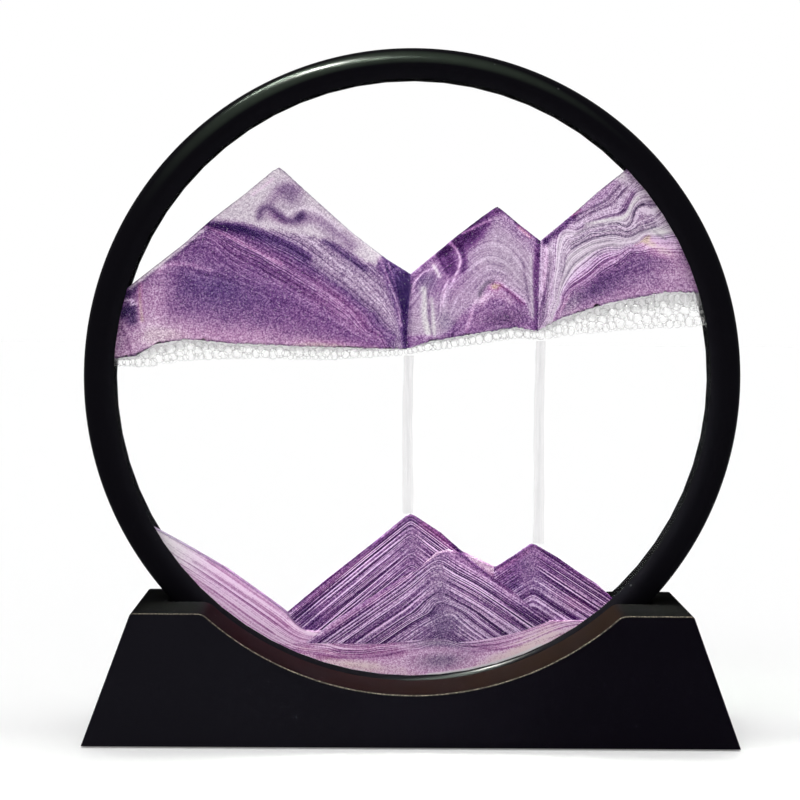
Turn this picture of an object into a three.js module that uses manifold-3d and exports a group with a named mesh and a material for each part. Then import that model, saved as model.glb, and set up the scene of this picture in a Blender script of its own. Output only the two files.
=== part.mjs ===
// Moving sand picture: a round glass cell of water, air bubbles and purple sand, framed by a tubular ring
// that drops into a saddle-shaped stand, turns in it and lifts out of it.
// Millimetres, +Z up. The origin is on the table below the ring's centre, and the front faces -Y.

import * as THREE from 'three';
import { mergeVertices } from 'three/addons/utils/BufferGeometryUtils.js';
import Module from 'manifold-3d';

const wasm = await Module();
wasm.setup();

// Fits
const FLAT_GAP = 0.1; // between flat faces that are stacked or bonded
const SLIP_GAP = 0.3; // round a piece that drops into its seat or moves in it

// Ring: two moulded halves of an oval tube, joined on the ring's plane round the edge of the glass cell
const RING_DIAMETER = 180;
const TUBE_WIDTH = 10; // the oval across the ring's radius, before the glass slot opens it
const FACE_WALL = 1.9; // tube wall in front of the glass cell
const RIM_WALL = 2.6; // tube wall outside the glass cell
const TONGUE_WIDTH = 0.8; // tongue of the front half in the rear half's rim
const TONGUE_HEIGHT = 0.8;

// Glass cell: two discs on a spacer, edged with a rubber channel
const GLASS_THICKNESS = 1.6;
const GLASS_CHAMFER = 0.3;
const GASKET_WALL = 0.6;
const GASKET_LIP = 0.5;
const SPACER_WIDTH = 3.4;
const SPACER_DEPTH = 2.6;
const SEAL_THICKNESS = 0.3;
const SEAL_MARGIN = 0.6; // bare spacer on both sides of the sealant
const FILL_PORT_DIAMETER = 1.7;
const PLUG_HEAD_DIAMETER = 2.3;
const PLUG_HEAD_HEIGHT = 0.4;
const WATER_FILM = 0.7; // water between the sand and the rear glass

// Stand: hollow moulding with a saddle, closed by a base plate on four push-in feet
const STAND_HEIGHT = 35.8;
const STAND_DEPTH = 45;
const STAND_WALL = 2.2;
const LEDGE_LENGTH = 17.4; // flat top on each side of the saddle
const SIDE_RUN = 13; // how far each end leans out from its top to its foot
const GROOVE_DEPTH = 7.8; // how far the ring sinks below the saddle
const RING_SETBACK = 5; // of the ring's plane behind the middle of the stand
const UNDER_GROOVE_SPACE = 1.4; // between the groove's moulding and the base plate
const SADDLE_FILLET = 4;
const END_ROUND = 0.8; // where a ledge turns down into the end
const EDGE_ROUND = 0.5; // along the front and rear edges
const RIB_THICKNESS = 1.8;
const RIB_PITCH = 36;
const RIB_COUNT = 4;
const PLATE_THICKNESS = 2.4;
const POST_DIAMETER = 7;
const POST_END_INSET = 6.5; // from the ledge's outer end to the post
const POST_FACE_INSET = 9.5; // from the front or rear face to the post
const FOOT_DIAMETER = 10;
const FOOT_RECESS = 1;
const FOOT_STANDOFF = 0.4; // housing and plate above the table
const FOOT_CHAMFER = 0.3;
const STEM_DIAMETER = 3;
const STEM_LENGTH = 9;
const STEM_TAPER = 0.6;

// Upper sand, as [x, z] from the ring's centre. The outer ends run on past the cell's wall, which trims them.
const LEFT_VALLEY = [-0.8, 29.2];
const RIGHT_VALLEY = [34.6, 38.5];
const LEFT_OUTLET = [-1.8, 8.6];
const RIGHT_OUTLET = [34.1, 13.8];
const LEFT_MOUNTAIN = [
  [-90, 16.5], [-77.7, 25.1], [-62.7, 36.9], [-55.1, 43.7], [-45.9, 50.8],
  [-36.8, 58.2], [-29.9, 51.9], [-17, 40.5], [-7.6, 33.4],
];
const MIDDLE_MOUNTAIN = [[11.4, 39.4], [16.8, 43.6], [22.8, 47.9], [28.6, 43.1]];
const RIGHT_MOUNTAIN = [[43.8, 46.2], [50.3, 52.1], [90, 84]];
const LEFT_UNDERSIDE = [
  [-90, 4.4], [-75.8, 6], [-70.8, 9.2], [-62.6, 10.8], [-50, 9.7], [-34.4, 9.1], [-9.3, 8.6],
];
const MIDDLE_UNDERSIDE = [[4.3, 10.6], [14.3, 12.3], [28.2, 14.7]];
const RIGHT_UNDERSIDE = [[40.7, 17.8], [47.3, 20.5], [54.6, 22.8], [69.2, 25.2], [90, 25]];

// Raft of bubbles under the upper sand: its lower edge as [x, z] from the ring's centre, scalloped by bubbles
const FOAM_EDGE = [
  [-90, 3.4], [-72, 3.5], [-62.6, 5.2], [-40.7, 6], [-25, 5.6], [-3, 7.1],
  [11, 9.3], [28.2, 12], [34.8, 11.6], [44.1, 13.1], [64, 14.9], [90, 15.9],
];
const BUBBLE_PITCH = 2.3;
const BUBBLE_BULGE = 0.7;
const BUBBLE_STEPS = 4;

// Lower sand, as [x, height above the cell's floor]. Ends past the cell's wall are trimmed by it too.
const BED_TOP = [[-60, 9.2], [-8.5, 9], [22.7, 10.1], [33.1, 12.8], [40.8, 15.7], [70, 16.9]];
const LEFT_DUNE = [
  [-85, 49.4], [-69.8, 41.1], [-61.9, 36.8], [-50.8, 30.4], [-41.6, 23.9], [-36.1, 19.7], [-30.5, 14.1],
];
const DUNE_FOOT = [-29.4, 12.8];
const LEFT_PEAK = [
  [-33.9, 18.2], [-23.2, 27.4], [-11, 37.1], [-0.3, 45.9], [8.2, 40.4], [13.8, 35.5], [22.8, 31.2],
];
const RIGHT_PEAK = [
  [23.6, 31.2], [28.5, 34.4], [33.5, 37.9], [40.1, 34], [46.6, 29.5], [51.2, 26.6], [60, 18.8],
];
const FRONT_RIDGE = [
  [-28.7, 10.1], [-20.1, 16.6], [-7.9, 24.7], [2.4, 31], [6.9, 35.2], [10.2, 36.1],
  [14.1, 34.9], [20.6, 29.7], [27.8, 24.8], [33.7, 19.6], [38, 16.2],
];
const RIDGE_DEPTH = 1.2; // the front ridge lies against the front glass, before the two peaks

// Falling sand
const STREAM_WIDTH = 2.4;
const LEFT_STREAM_X = -1.2;
const RIGHT_STREAM_X = 34.9;

// Facets
const RING_SEGMENTS = 64;
const TUBE_STEPS = 8;
const SADDLE_STEPS = 28;
const GROOVE_SEGMENTS = 120;
const FILLET_STEPS = 5;
const SMALL_ROUND_SEGMENTS = 16;
const EDGE_STEPS = 2;
const MIN_FILLET = 0.2;

// Radii that follow from the ring inwards
const RING_RADIUS = RING_DIAMETER / 2;
const TUBE_CENTRE = RING_RADIUS - TUBE_WIDTH / 2;
const POCKET_RADIUS = RING_RADIUS - RIM_WALL;
const GASKET_RADIUS = POCKET_RADIUS - FLAT_GAP;
const CHANNEL_RADIUS = GASKET_RADIUS - GASKET_WALL;
const GLASS_RADIUS = CHANNEL_RADIUS - FLAT_GAP;
const SPACER_RADIUS = GLASS_RADIUS - PLUG_HEAD_HEIGHT - 2 * FLAT_GAP;
const CELL_RADIUS = SPACER_RADIUS - SPACER_WIDTH;
const CONTENT_RADIUS = CELL_RADIUS - SLIP_GAP;

// Depths that follow from the spacer outwards
const CAVITY_DEPTH = SPACER_DEPTH + 2 * (SEAL_THICKNESS + 2 * FLAT_GAP);
const CELL_DEPTH = CAVITY_DEPTH + 2 * GLASS_THICKNESS;
const CHANNEL_DEPTH = CELL_DEPTH + 2 * FLAT_GAP;
const GASKET_DEPTH = CHANNEL_DEPTH + 2 * GASKET_LIP;
const POCKET_DEPTH = GASKET_DEPTH + 2 * FLAT_GAP;
const TUBE_DEPTH = POCKET_DEPTH + 2 * FACE_WALL;
const LIP_ANGLE = Math.PI - Math.asin(POCKET_DEPTH / TUBE_DEPTH);
const LIP_RADIUS = TUBE_CENTRE + (TUBE_WIDTH / 2) * Math.cos(LIP_ANGLE);
const SAND_FRONT = -CAVITY_DEPTH / 2 + FLAT_GAP;
const WATER_FRONT = CAVITY_DEPTH / 2 - FLAT_GAP - WATER_FILM;
const SAND_REAR = WATER_FRONT - FLAT_GAP;

// Heights and lengths of the stand that follow from the ring that it carries
const PLATE_TOP = FOOT_STANDOFF + PLATE_THICKNESS;
const GROOVE_RADIUS = RING_RADIUS + SLIP_GAP;
const GROOVE_WIDTH = TUBE_DEPTH + 2 * SLIP_GAP;
const RING_HEIGHT = PLATE_TOP + UNDER_GROOVE_SPACE + STAND_WALL + GROOVE_RADIUS;
const SADDLE_RADIUS = RING_RADIUS - GROOVE_DEPTH;
const TOP_HALF_LENGTH = saddleFilletX(0) + LEDGE_LENGTH;
const POST_X = TOP_HALF_LENGTH - POST_END_INSET;
const POST_Y = STAND_DEPTH / 2 - POST_FACE_INSET;
const FOOT_TOP = FOOT_STANDOFF + FOOT_RECESS - FLAT_GAP;

function toSolid(geometry) {
  const bare = geometry.clone();
  bare.deleteAttribute('normal');
  bare.deleteAttribute('uv');
  const merged = mergeVertices(bare);
  const vertProperties = new Float32Array(merged.attributes.position.array);
  const triVerts = new Uint32Array(merged.index.array);
  return new wasm.Manifold(new wasm.Mesh({ numProp: 3, vertProperties, triVerts }));
}

function toGeometry(solid) {
  const mesh = solid.getMesh();
  const geometry = new THREE.BufferGeometry();
  geometry.setAttribute('position', new THREE.BufferAttribute(mesh.vertProperties, 3));
  geometry.setIndex(new THREE.BufferAttribute(mesh.triVerts, 1));
  geometry.computeVertexNormals();
  return geometry;
}

function toShape(points) {
  return new THREE.Shape(points.map(([x, z]) => new THREE.Vector2(x, z)));
}

// Closed [radius, y] profile turned round the ring's axis, which is Y
function turned(profile, segments = RING_SEGMENTS) {
  const points = profile.map(([radius, y]) => new THREE.Vector2(radius, y));
  return new THREE.LatheGeometry(points, segments);
}

function turnedBand(inner, outer, front, rear) {
  return turned([[inner, front], [outer, front], [outer, rear], [inner, rear], [inner, front]]);
}

// Upright round piece from an open [radius, z] profile that starts and ends on its axis
function turnedUpright(profile) {
  return turned(profile, SMALL_ROUND_SEGMENTS).rotateX(Math.PI / 2);
}

function uprightCylinder(diameter, bottom, top) {
  const radius = diameter / 2;
  return turnedUpright([[0, bottom], [radius, bottom], [radius, top], [0, top]]);
}

// Outline in the XZ plane given a thickness from y = front to y = rear
function slab(shape, front, rear, round = 0) {
  const geometry = new THREE.ExtrudeGeometry(shape, {
    depth: rear - front - 2 * round,
    bevelEnabled: round > 0,
    bevelThickness: round,
    bevelSize: round,
    bevelOffset: -round,
    bevelSegments: EDGE_STEPS,
  });
  geometry.rotateX(Math.PI / 2);
  geometry.translate(0, rear - round, 0);
  return geometry;
}

function arc(x, z, radius, from, to, steps) {
  return Array.from({ length: steps + 1 }, (_, i) => {
    const angle = from + ((to - from) * i) / steps;
    return [x + radius * Math.cos(angle), z + radius * Math.sin(angle)];
  });
}

function bend(from, corner, to) {
  const [a, b, c] = [from, corner, to].map(([x, z]) => new THREE.Vector2(x, z));
  return new THREE.QuadraticBezierCurve(a, b, c).getPoints(FILLET_STEPS).map(({ x, y }) => [x, y]);
}

function heightAt(line, x) {
  const right = Math.max(1, line.findIndex(([px]) => px >= x));
  const [[x0, z0], [x1, z1]] = [line[right - 1], line[right]];
  return z0 + ((z1 - z0) * (x - x0)) / (x1 - x0);
}

function piece(name, geometry, finish) {
  const mesh = new THREE.Mesh(geometry, new THREE.MeshStandardMaterial({ ...finish, metalness: 0 }));
  mesh.name = name;
  return mesh;
}

// Half of the ring's tube: an oval outside, a square pocket for the cell's edge, a tongued or grooved rim
function ringShell(side) {
  const firstAngle = Math.asin(FLAT_GAP / TUBE_DEPTH);
  const outside = arc(0, 0, 1, firstAngle, LIP_ANGLE, TUBE_STEPS).map(([across, along]) => [
    TUBE_CENTRE + (TUBE_WIDTH / 2) * across,
    (side * TUBE_DEPTH * along) / 2,
  ]);
  const play = side < 0 ? 0 : FLAT_GAP;
  const tongueInner = POCKET_RADIUS + (RIM_WALL - TONGUE_WIDTH) / 2 - play;
  const tongueOuter = tongueInner + TONGUE_WIDTH + 2 * play;
  const face = (side * FLAT_GAP) / 2;
  const tongueEnd = TONGUE_HEIGHT + play;
  const inside = [
    [POCKET_RADIUS, (side * POCKET_DEPTH) / 2],
    [POCKET_RADIUS, face],
    [tongueInner, face],
    [tongueInner, tongueEnd],
    [tongueOuter, tongueEnd],
    [tongueOuter, face],
  ];
  const profile = [...outside, ...inside, outside[0]];
  return turned(side < 0 ? profile.reverse() : profile);
}

// Rubber channel that wraps the edges of both discs
function edgeGasket() {
  const lip = LIP_RADIUS + FLAT_GAP;
  const outer = GASKET_DEPTH / 2;
  const inner = CHANNEL_DEPTH / 2;
  return turned([
    [lip, -outer],
    [GASKET_RADIUS, -outer],
    [GASKET_RADIUS, outer],
    [lip, outer],
    [lip, inner],
    [CHANNEL_RADIUS, inner],
    [CHANNEL_RADIUS, -inner],
    [lip, -inner],
    [lip, -outer],
  ]);
}

// Disc with chamfered rims
function glassDisc(front) {
  const rear = front + GLASS_THICKNESS;
  const face = GLASS_RADIUS - GLASS_CHAMFER;
  return turned([
    [0, front],
    [face, front],
    [GLASS_RADIUS, front + GLASS_CHAMFER],
    [GLASS_RADIUS, rear - GLASS_CHAMFER],
    [face, rear],
    [0, rear],
  ]);
}

function glassSeal(front) {
  return turnedBand(CELL_RADIUS + SEAL_MARGIN, SPACER_RADIUS - SEAL_MARGIN, front, front + SEAL_THICKNESS);
}

// Spacer with the port through which the cell is filled, at the top of the ring
function spacerRing() {
  const ring = turnedBand(CELL_RADIUS, SPACER_RADIUS, -SPACER_DEPTH / 2, SPACER_DEPTH / 2);
  const port = uprightCylinder(FILL_PORT_DIAMETER, CELL_RADIUS - SPACER_WIDTH, SPACER_RADIUS + SPACER_WIDTH);
  return toGeometry(toSolid(ring).subtract(toSolid(port)));
}

function fillPlug() {
  const shaft = FILL_PORT_DIAMETER / 2 - SLIP_GAP;
  const seat = SPACER_RADIUS + FLAT_GAP;
  return turnedUpright([
    [0, CELL_RADIUS],
    [shaft, CELL_RADIUS],
    [shaft, seat],
    [PLUG_HEAD_DIAMETER / 2, seat],
    [PLUG_HEAD_DIAMETER / 2, seat + PLUG_HEAD_HEIGHT],
    [0, seat + PLUG_HEAD_HEIGHT],
  ]);
}

function waterLayer() {
  const rear = WATER_FRONT + WATER_FILM;
  return turned([[0, WATER_FRONT], [CONTENT_RADIUS, WATER_FRONT], [CONTENT_RADIUS, rear], [0, rear]]);
}

// Outline made into a layer of sand or foam and trimmed by the round wall of the cell
function cellLayer(outline, front = SAND_FRONT, rear = SAND_REAR) {
  const wall = new THREE.CylinderGeometry(CONTENT_RADIUS, CONTENT_RADIUS, CAVITY_DEPTH, RING_SEGMENTS);
  return toGeometry(toSolid(slab(toShape(outline), front, rear)).intersect(toSolid(wall)));
}

function shifted(points, dx, dz) {
  return points.map(([x, z]) => [x + dx, z + dz]);
}

// Mass of upper sand between its crest and its underside, split from its neighbours below the valleys
function mountain(crest, underside, leftSide, rightSide) {
  const gap = SLIP_GAP / 2;
  const top = [...shifted(leftSide.top, gap, 0), ...crest, ...shifted(rightSide.top, -gap, 0)];
  const bottom = [...shifted(leftSide.bottom, gap, 0), ...underside, ...shifted(rightSide.bottom, -gap, 0)];
  return cellLayer([...bottom, ...top.reverse()]);
}

function foamRaft() {
  const underside = [...LEFT_UNDERSIDE, LEFT_OUTLET, ...MIDDLE_UNDERSIDE, RIGHT_OUTLET, ...RIGHT_UNDERSIDE];
  const bubbles = Math.round((2 * RING_RADIUS) / BUBBLE_PITCH);
  const steps = bubbles * BUBBLE_STEPS;
  const edge = Array.from({ length: steps + 1 }, (_, i) => {
    const x = -RING_RADIUS + (2 * RING_RADIUS * i) / steps;
    const sag = BUBBLE_BULGE * Math.sin((Math.PI * (i % BUBBLE_STEPS)) / BUBBLE_STEPS);
    return [x, heightAt(FOAM_EDGE, x) - sag];
  });
  return cellLayer([...edge, ...shifted(underside, 0, -SLIP_GAP).reverse()]);
}

function aboveFloor(points) {
  return shifted(points, 0, -CONTENT_RADIUS);
}

// Heap of fallen sand whose foot lies on the bed
function heap(crest, front, rear) {
  const [left, right] = [crest[0][0], crest[crest.length - 1][0]];
  const foot = BED_TOP.filter(([x]) => x > left && x < right);
  const ends = [left, right].map((x) => [x, heightAt(BED_TOP, x)]);
  const bottom = shifted([ends[0], ...foot, ends[1]], 0, SLIP_GAP);
  return cellLayer(aboveFloor([...bottom, ...crest.slice().reverse()]), front, rear);
}

function sandBed() {
  const [left, right] = [BED_TOP[0][0], BED_TOP[BED_TOP.length - 1][0]];
  return cellLayer(aboveFloor([[left, -RING_RADIUS], [right, -RING_RADIUS], ...BED_TOP.slice().reverse()]));
}

// Column of falling sand from below the bubbles to just above a peak
function stream(x, peak) {
  const top = heightAt(FOAM_EDGE, x) - BUBBLE_BULGE - SLIP_GAP;
  const bottom = Math.max(...peak.map(([, height]) => height)) - CONTENT_RADIUS + SLIP_GAP;
  const column = uprightCylinder(1, bottom, top);
  column.scale(STREAM_WIDTH, SAND_REAR - SAND_FRONT - 2 * SLIP_GAP, 1);
  return column.translate(x, (SAND_FRONT + SAND_REAR) / 2, 0);
}

// Where the fillet between ledge and saddle starts on the ledge of an outline set in by a wall
function saddleFilletX(inset) {
  const fillet = saddleFillet(inset);
  const reach = SADDLE_RADIUS + inset + fillet;
  const drop = RING_HEIGHT - STAND_HEIGHT + inset + fillet;
  return Math.sqrt(reach * reach - drop * drop);
}

function saddleFillet(inset) {
  return Math.max(SADDLE_FILLET - inset, MIN_FILLET);
}

function standHalfLength(z, inset) {
  const lean = SIDE_RUN / (STAND_HEIGHT - FOOT_STANDOFF);
  return TOP_HALF_LENGTH + lean * (STAND_HEIGHT - z) - inset * Math.hypot(1, lean);
}

// Front view of the stand, set in by a wall: leaning ends, ledges, filleted saddle
function standOutline(inset, bottom) {
  const top = STAND_HEIGHT - inset;
  const fillet = saddleFillet(inset);
  const filletX = saddleFilletX(inset);
  const filletZ = top - fillet;
  const turnIn = Math.atan2(RING_HEIGHT - filletZ, -filletX);
  const saddleStart = turnIn - Math.PI;
  const endZ = top - END_ROUND;
  const cornerX = standHalfLength(top, inset);
  const rightEnd = bend([standHalfLength(endZ, inset), endZ], [cornerX, top], [cornerX - END_ROUND, top]);
  const rightFillet = arc(filletX, filletZ, fillet, Math.PI / 2, turnIn, FILLET_STEPS);
  const mirrored = (points) => points.map(([x, z]) => [-x, z]).reverse();
  const saddleEnd = -Math.PI - saddleStart;
  const saddle = arc(0, RING_HEIGHT, SADDLE_RADIUS + inset, saddleStart, saddleEnd, SADDLE_STEPS);
  return toShape([
    [-standHalfLength(bottom, inset), bottom],
    [standHalfLength(bottom, inset), bottom],
    ...rightEnd,
    ...rightFillet,
    ...saddle.slice(1, -1),
    ...mirrored(rightFillet),
    ...mirrored(rightEnd),
  ]);
}

function grooveDisc(wall) {
  const disc = new THREE.CylinderGeometry(
    GROOVE_RADIUS + wall,
    GROOVE_RADIUS + wall,
    GROOVE_WIDTH + 2 * wall,
    GROOVE_SEGMENTS,
  );
  return toSolid(disc.translate(0, RING_SETBACK, RING_HEIGHT));
}

function fourCorners(place) {
  return [-1, 1].flatMap((sideX) => [-1, 1].map((sideY) => place(sideX * POST_X, sideY * POST_Y)));
}

// Inside of the housing, less the groove's walls, the cross ribs and the posts for the feet
function standHollow() {
  const wallY = STAND_DEPTH / 2 - STAND_WALL;
  const roofless = slab(standOutline(STAND_WALL, FOOT_STANDOFF - STAND_WALL), -wallY, wallY);
  let hollow = toSolid(roofless).subtract(grooveDisc(STAND_WALL));
  const inner = PLATE_TOP + FLAT_GAP;
  for (let i = 0; i < RIB_COUNT; i += 1) {
    const rib = new THREE.BoxGeometry(RIB_THICKNESS, STAND_DEPTH, STAND_HEIGHT);
    rib.translate((i - (RIB_COUNT - 1) / 2) * RIB_PITCH, 0, inner + STAND_HEIGHT / 2);
    hollow = hollow.subtract(toSolid(rib));
  }
  const posts = fourCorners((x, y) => uprightCylinder(POST_DIAMETER, inner, STAND_HEIGHT).translate(x, y, 0));
  return posts.reduce((rest, post) => rest.subtract(toSolid(post)), hollow);
}

function standShell() {
  const block = slab(standOutline(0, FOOT_STANDOFF), -STAND_DEPTH / 2, STAND_DEPTH / 2, EDGE_ROUND);
  const housing = toSolid(block).subtract(grooveDisc(0)).subtract(standHollow());
  const holeTop = FOOT_TOP + STEM_LENGTH + SLIP_GAP;
  const holeDiameter = STEM_DIAMETER + 2 * SLIP_GAP;
  const holes = fourCorners((x, y) => uprightCylinder(holeDiameter, 0, holeTop).translate(x, y, 0));
  return toGeometry(holes.reduce((rest, hole) => rest.subtract(toSolid(hole)), housing));
}

// Base plate with a recess for each foot's head and a hole for its stem
function basePlate() {
  const length = 2 * (standHalfLength(PLATE_TOP, STAND_WALL) - SLIP_GAP);
  const width = STAND_DEPTH - 2 * (STAND_WALL + SLIP_GAP);
  const blank = new THREE.BoxGeometry(length, width, PLATE_THICKNESS);
  blank.translate(0, 0, FOOT_STANDOFF + PLATE_THICKNESS / 2);
  const recess = [FOOT_DIAMETER + 2 * SLIP_GAP, FOOT_STANDOFF + FOOT_RECESS];
  const hole = [STEM_DIAMETER + 2 * SLIP_GAP, PLATE_TOP + PLATE_THICKNESS];
  const cuts = [recess, hole].flatMap(([diameter, top]) =>
    fourCorners((x, y) => uprightCylinder(diameter, 0, top).translate(x, y, 0)));
  return toGeometry(cuts.reduce((rest, cut) => rest.subtract(toSolid(cut)), toSolid(blank)));
}

// Rubber foot: a low head under the plate and a stem pushed up into a post
function foot() {
  const head = FOOT_DIAMETER / 2;
  const stem = STEM_DIAMETER / 2;
  const tip = FOOT_TOP + STEM_LENGTH;
  return turnedUpright([
    [0, 0],
    [head - FOOT_CHAMFER, 0],
    [head, FOOT_CHAMFER],
    [head, FOOT_TOP],
    [stem, FOOT_TOP],
    [stem, tip - STEM_TAPER],
    [stem - STEM_TAPER, tip],
    [0, tip],
  ]);
}

// Finishes: colour in sRGB, roughness, and opacity where a piece is see-through
const RING_GLOSS = { color: 0x0f0e13, roughness: 0.25 };
const STAND_SATIN = { color: 0x151419, roughness: 0.5 };
const FOOT_RUBBER = { color: 0x1b1b1d, roughness: 0.85 };
const GASKET_RUBBER = { color: 0x0d0d0f, roughness: 0.8 };
const CELL_GLASS = { color: 0xf4f8f8, roughness: 0.05, transparent: true, opacity: 0.15 };
const CLEAR_WATER = { color: 0xfafcff, roughness: 0.05, transparent: true, opacity: 0.1 };
const SPACER_WHITE = { color: 0xe8e8ea, roughness: 0.5 };
const SEALANT_GREY = { color: 0x8a8a8c, roughness: 0.7 };
const BUBBLE_FOAM = { color: 0xe6e2e4, roughness: 0.2, transparent: true, opacity: 0.5 };
const FALLING_SAND = { color: 0xefefef, roughness: 0.9, transparent: true, opacity: 0.5 };
const VIOLET_SAND = { color: 0x79558d, roughness: 0.9 };
const LILAC_SAND = { color: 0xad89a1, roughness: 0.9 };
const PINK_SAND = { color: 0xcdb1cb, roughness: 0.9 };

function buildFrame() {
  const frame = new THREE.Group();
  const leftCut = { top: [LEFT_VALLEY], bottom: [LEFT_OUTLET] };
  const rightCut = { top: [RIGHT_VALLEY], bottom: [RIGHT_OUTLET] };
  const uncut = { top: [], bottom: [] };
  const peakFront = SAND_FRONT + RIDGE_DEPTH + FLAT_GAP;
  const besideDune = shifted([DUNE_FOOT, LEFT_DUNE[LEFT_DUNE.length - 1]], SLIP_GAP, SLIP_GAP);
  frame.add(
    piece('front_ring_shell', ringShell(-1), RING_GLOSS),
    piece('rear_ring_shell', ringShell(1), RING_GLOSS),
    piece('cell_edge_gasket', edgeGasket(), GASKET_RUBBER),
    piece('front_glass', glassDisc(-CELL_DEPTH / 2), CELL_GLASS),
    piece('rear_glass', glassDisc(CAVITY_DEPTH / 2), CELL_GLASS),
    piece('spacer_ring', spacerRing(), SPACER_WHITE),
    piece('front_glass_seal', glassSeal(-CAVITY_DEPTH / 2 + FLAT_GAP), SEALANT_GREY),
    piece('rear_glass_seal', glassSeal(SPACER_DEPTH / 2 + FLAT_GAP), SEALANT_GREY),
    piece('fill_plug', fillPlug(), GASKET_RUBBER),
    piece('water_layer', waterLayer(), CLEAR_WATER),
    piece('bubble_layer', foamRaft(), BUBBLE_FOAM),
    piece('upper_sand_left', mountain(LEFT_MOUNTAIN, LEFT_UNDERSIDE, uncut, leftCut), VIOLET_SAND),
    piece('upper_sand_middle', mountain(MIDDLE_MOUNTAIN, MIDDLE_UNDERSIDE, leftCut, rightCut), LILAC_SAND),
    piece('upper_sand_right', mountain(RIGHT_MOUNTAIN, RIGHT_UNDERSIDE, rightCut, uncut), PINK_SAND),
    piece('left_sand_stream', stream(LEFT_STREAM_X, LEFT_PEAK), FALLING_SAND),
    piece('right_sand_stream', stream(RIGHT_STREAM_X, RIGHT_PEAK), FALLING_SAND),
    piece('lower_sand_bed', sandBed(), LILAC_SAND),
    piece('lower_sand_left_dune', heap([...LEFT_DUNE, DUNE_FOOT]), PINK_SAND),
    piece('lower_sand_left_peak', heap([...besideDune, ...LEFT_PEAK], peakFront, SAND_REAR), VIOLET_SAND),
    piece('lower_sand_right_peak', heap(RIGHT_PEAK, peakFront, SAND_REAR), VIOLET_SAND),
    piece('lower_sand_front_ridge', heap(FRONT_RIDGE, SAND_FRONT, SAND_FRONT + RIDGE_DEPTH), LILAC_SAND),
  );
  frame.position.set(0, RING_SETBACK, RING_HEIGHT);
  return frame;
}

function buildStand() {
  const stand = new THREE.Group();
  stand.add(
    piece('stand_shell', standShell(), STAND_SATIN),
    piece('stand_base_plate', basePlate(), STAND_SATIN),
  );
  for (const [endName, sideX] of [['left', -1], ['right', 1]]) {
    for (const [faceName, sideY] of [['front', -1], ['rear', 1]]) {
      const rubberFoot = piece(`foot_${faceName}_${endName}`, foot(), FOOT_RUBBER);
      rubberFoot.position.set(sideX * POST_X, sideY * POST_Y, 0);
      stand.add(rubberFoot);
    }
  }
  return stand;
}

const sandPicture = new THREE.Group();
sandPicture.add(buildFrame(), buildStand());

export default sandPicture;
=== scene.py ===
"""Dressed model of a round moving sand picture on its saddle stand.

Striped violet sand, bubbles and water lie between two glass discs in a black tubular ring, which stands in
the groove of a black moulded stand. Metres, +Z up, front towards -Y.
"""

import logging
import math
from dataclasses import dataclass
from enum import Enum
from typing import Any, Iterable, Sequence, Union

import bmesh
import bpy
import numpy as np
from bpy.types import Material, Mesh, Object
from mathutils import Matrix, Vector


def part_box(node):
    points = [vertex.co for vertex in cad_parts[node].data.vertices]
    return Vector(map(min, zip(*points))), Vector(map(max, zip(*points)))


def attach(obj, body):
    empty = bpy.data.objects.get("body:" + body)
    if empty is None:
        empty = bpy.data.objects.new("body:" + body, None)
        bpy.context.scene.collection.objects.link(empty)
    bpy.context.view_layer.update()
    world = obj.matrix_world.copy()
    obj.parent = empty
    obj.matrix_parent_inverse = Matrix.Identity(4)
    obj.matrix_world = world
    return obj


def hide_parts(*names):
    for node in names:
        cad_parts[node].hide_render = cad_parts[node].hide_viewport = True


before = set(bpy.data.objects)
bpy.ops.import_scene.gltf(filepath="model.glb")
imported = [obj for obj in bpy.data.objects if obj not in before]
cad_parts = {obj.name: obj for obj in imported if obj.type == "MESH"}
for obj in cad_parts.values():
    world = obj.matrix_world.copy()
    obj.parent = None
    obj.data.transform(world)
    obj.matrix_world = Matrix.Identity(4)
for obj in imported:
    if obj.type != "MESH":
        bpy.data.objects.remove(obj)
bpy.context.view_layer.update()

LOG = logging.getLogger("sand_picture")
MM = 0.001
WELD_GAP = 1e-6
SLIVER_GAP = 1e-7
IMAGE_WIDTH = 800

Point = tuple[float, float]
Line = Sequence[Point]
Guides = Sequence[tuple[float, Line]]
Span = tuple[float, float]
Triple = tuple[float, float, float]
Colour = tuple[float, float, float, float]
Stops = Sequence[tuple[float, Colour]]
Number = Union["Value", float]


class Body(Enum):
    """The bodies that new pieces ride on."""

    STAND = "stand"
    FRAME = "frame"


def shade(red: int, green: int, blue: int) -> Colour:
    """Turn a shade as a screen shows it into the linear colour that shaders use.

    Args:
        red: Red from 0 to 255.
        green: Green from 0 to 255.
        blue: Blue from 0 to 255.

    Returns:
        The linear colour with full opacity.
    """
    def linear(level: float) -> float:
        """Undo the screen's curve for one channel."""
        return level / 12.92 if level <= 0.04045 else ((level + 0.055) / 1.055) ** 2.4

    return (*(linear(channel / 255) for channel in (red, green, blue)), 1.0)


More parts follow.
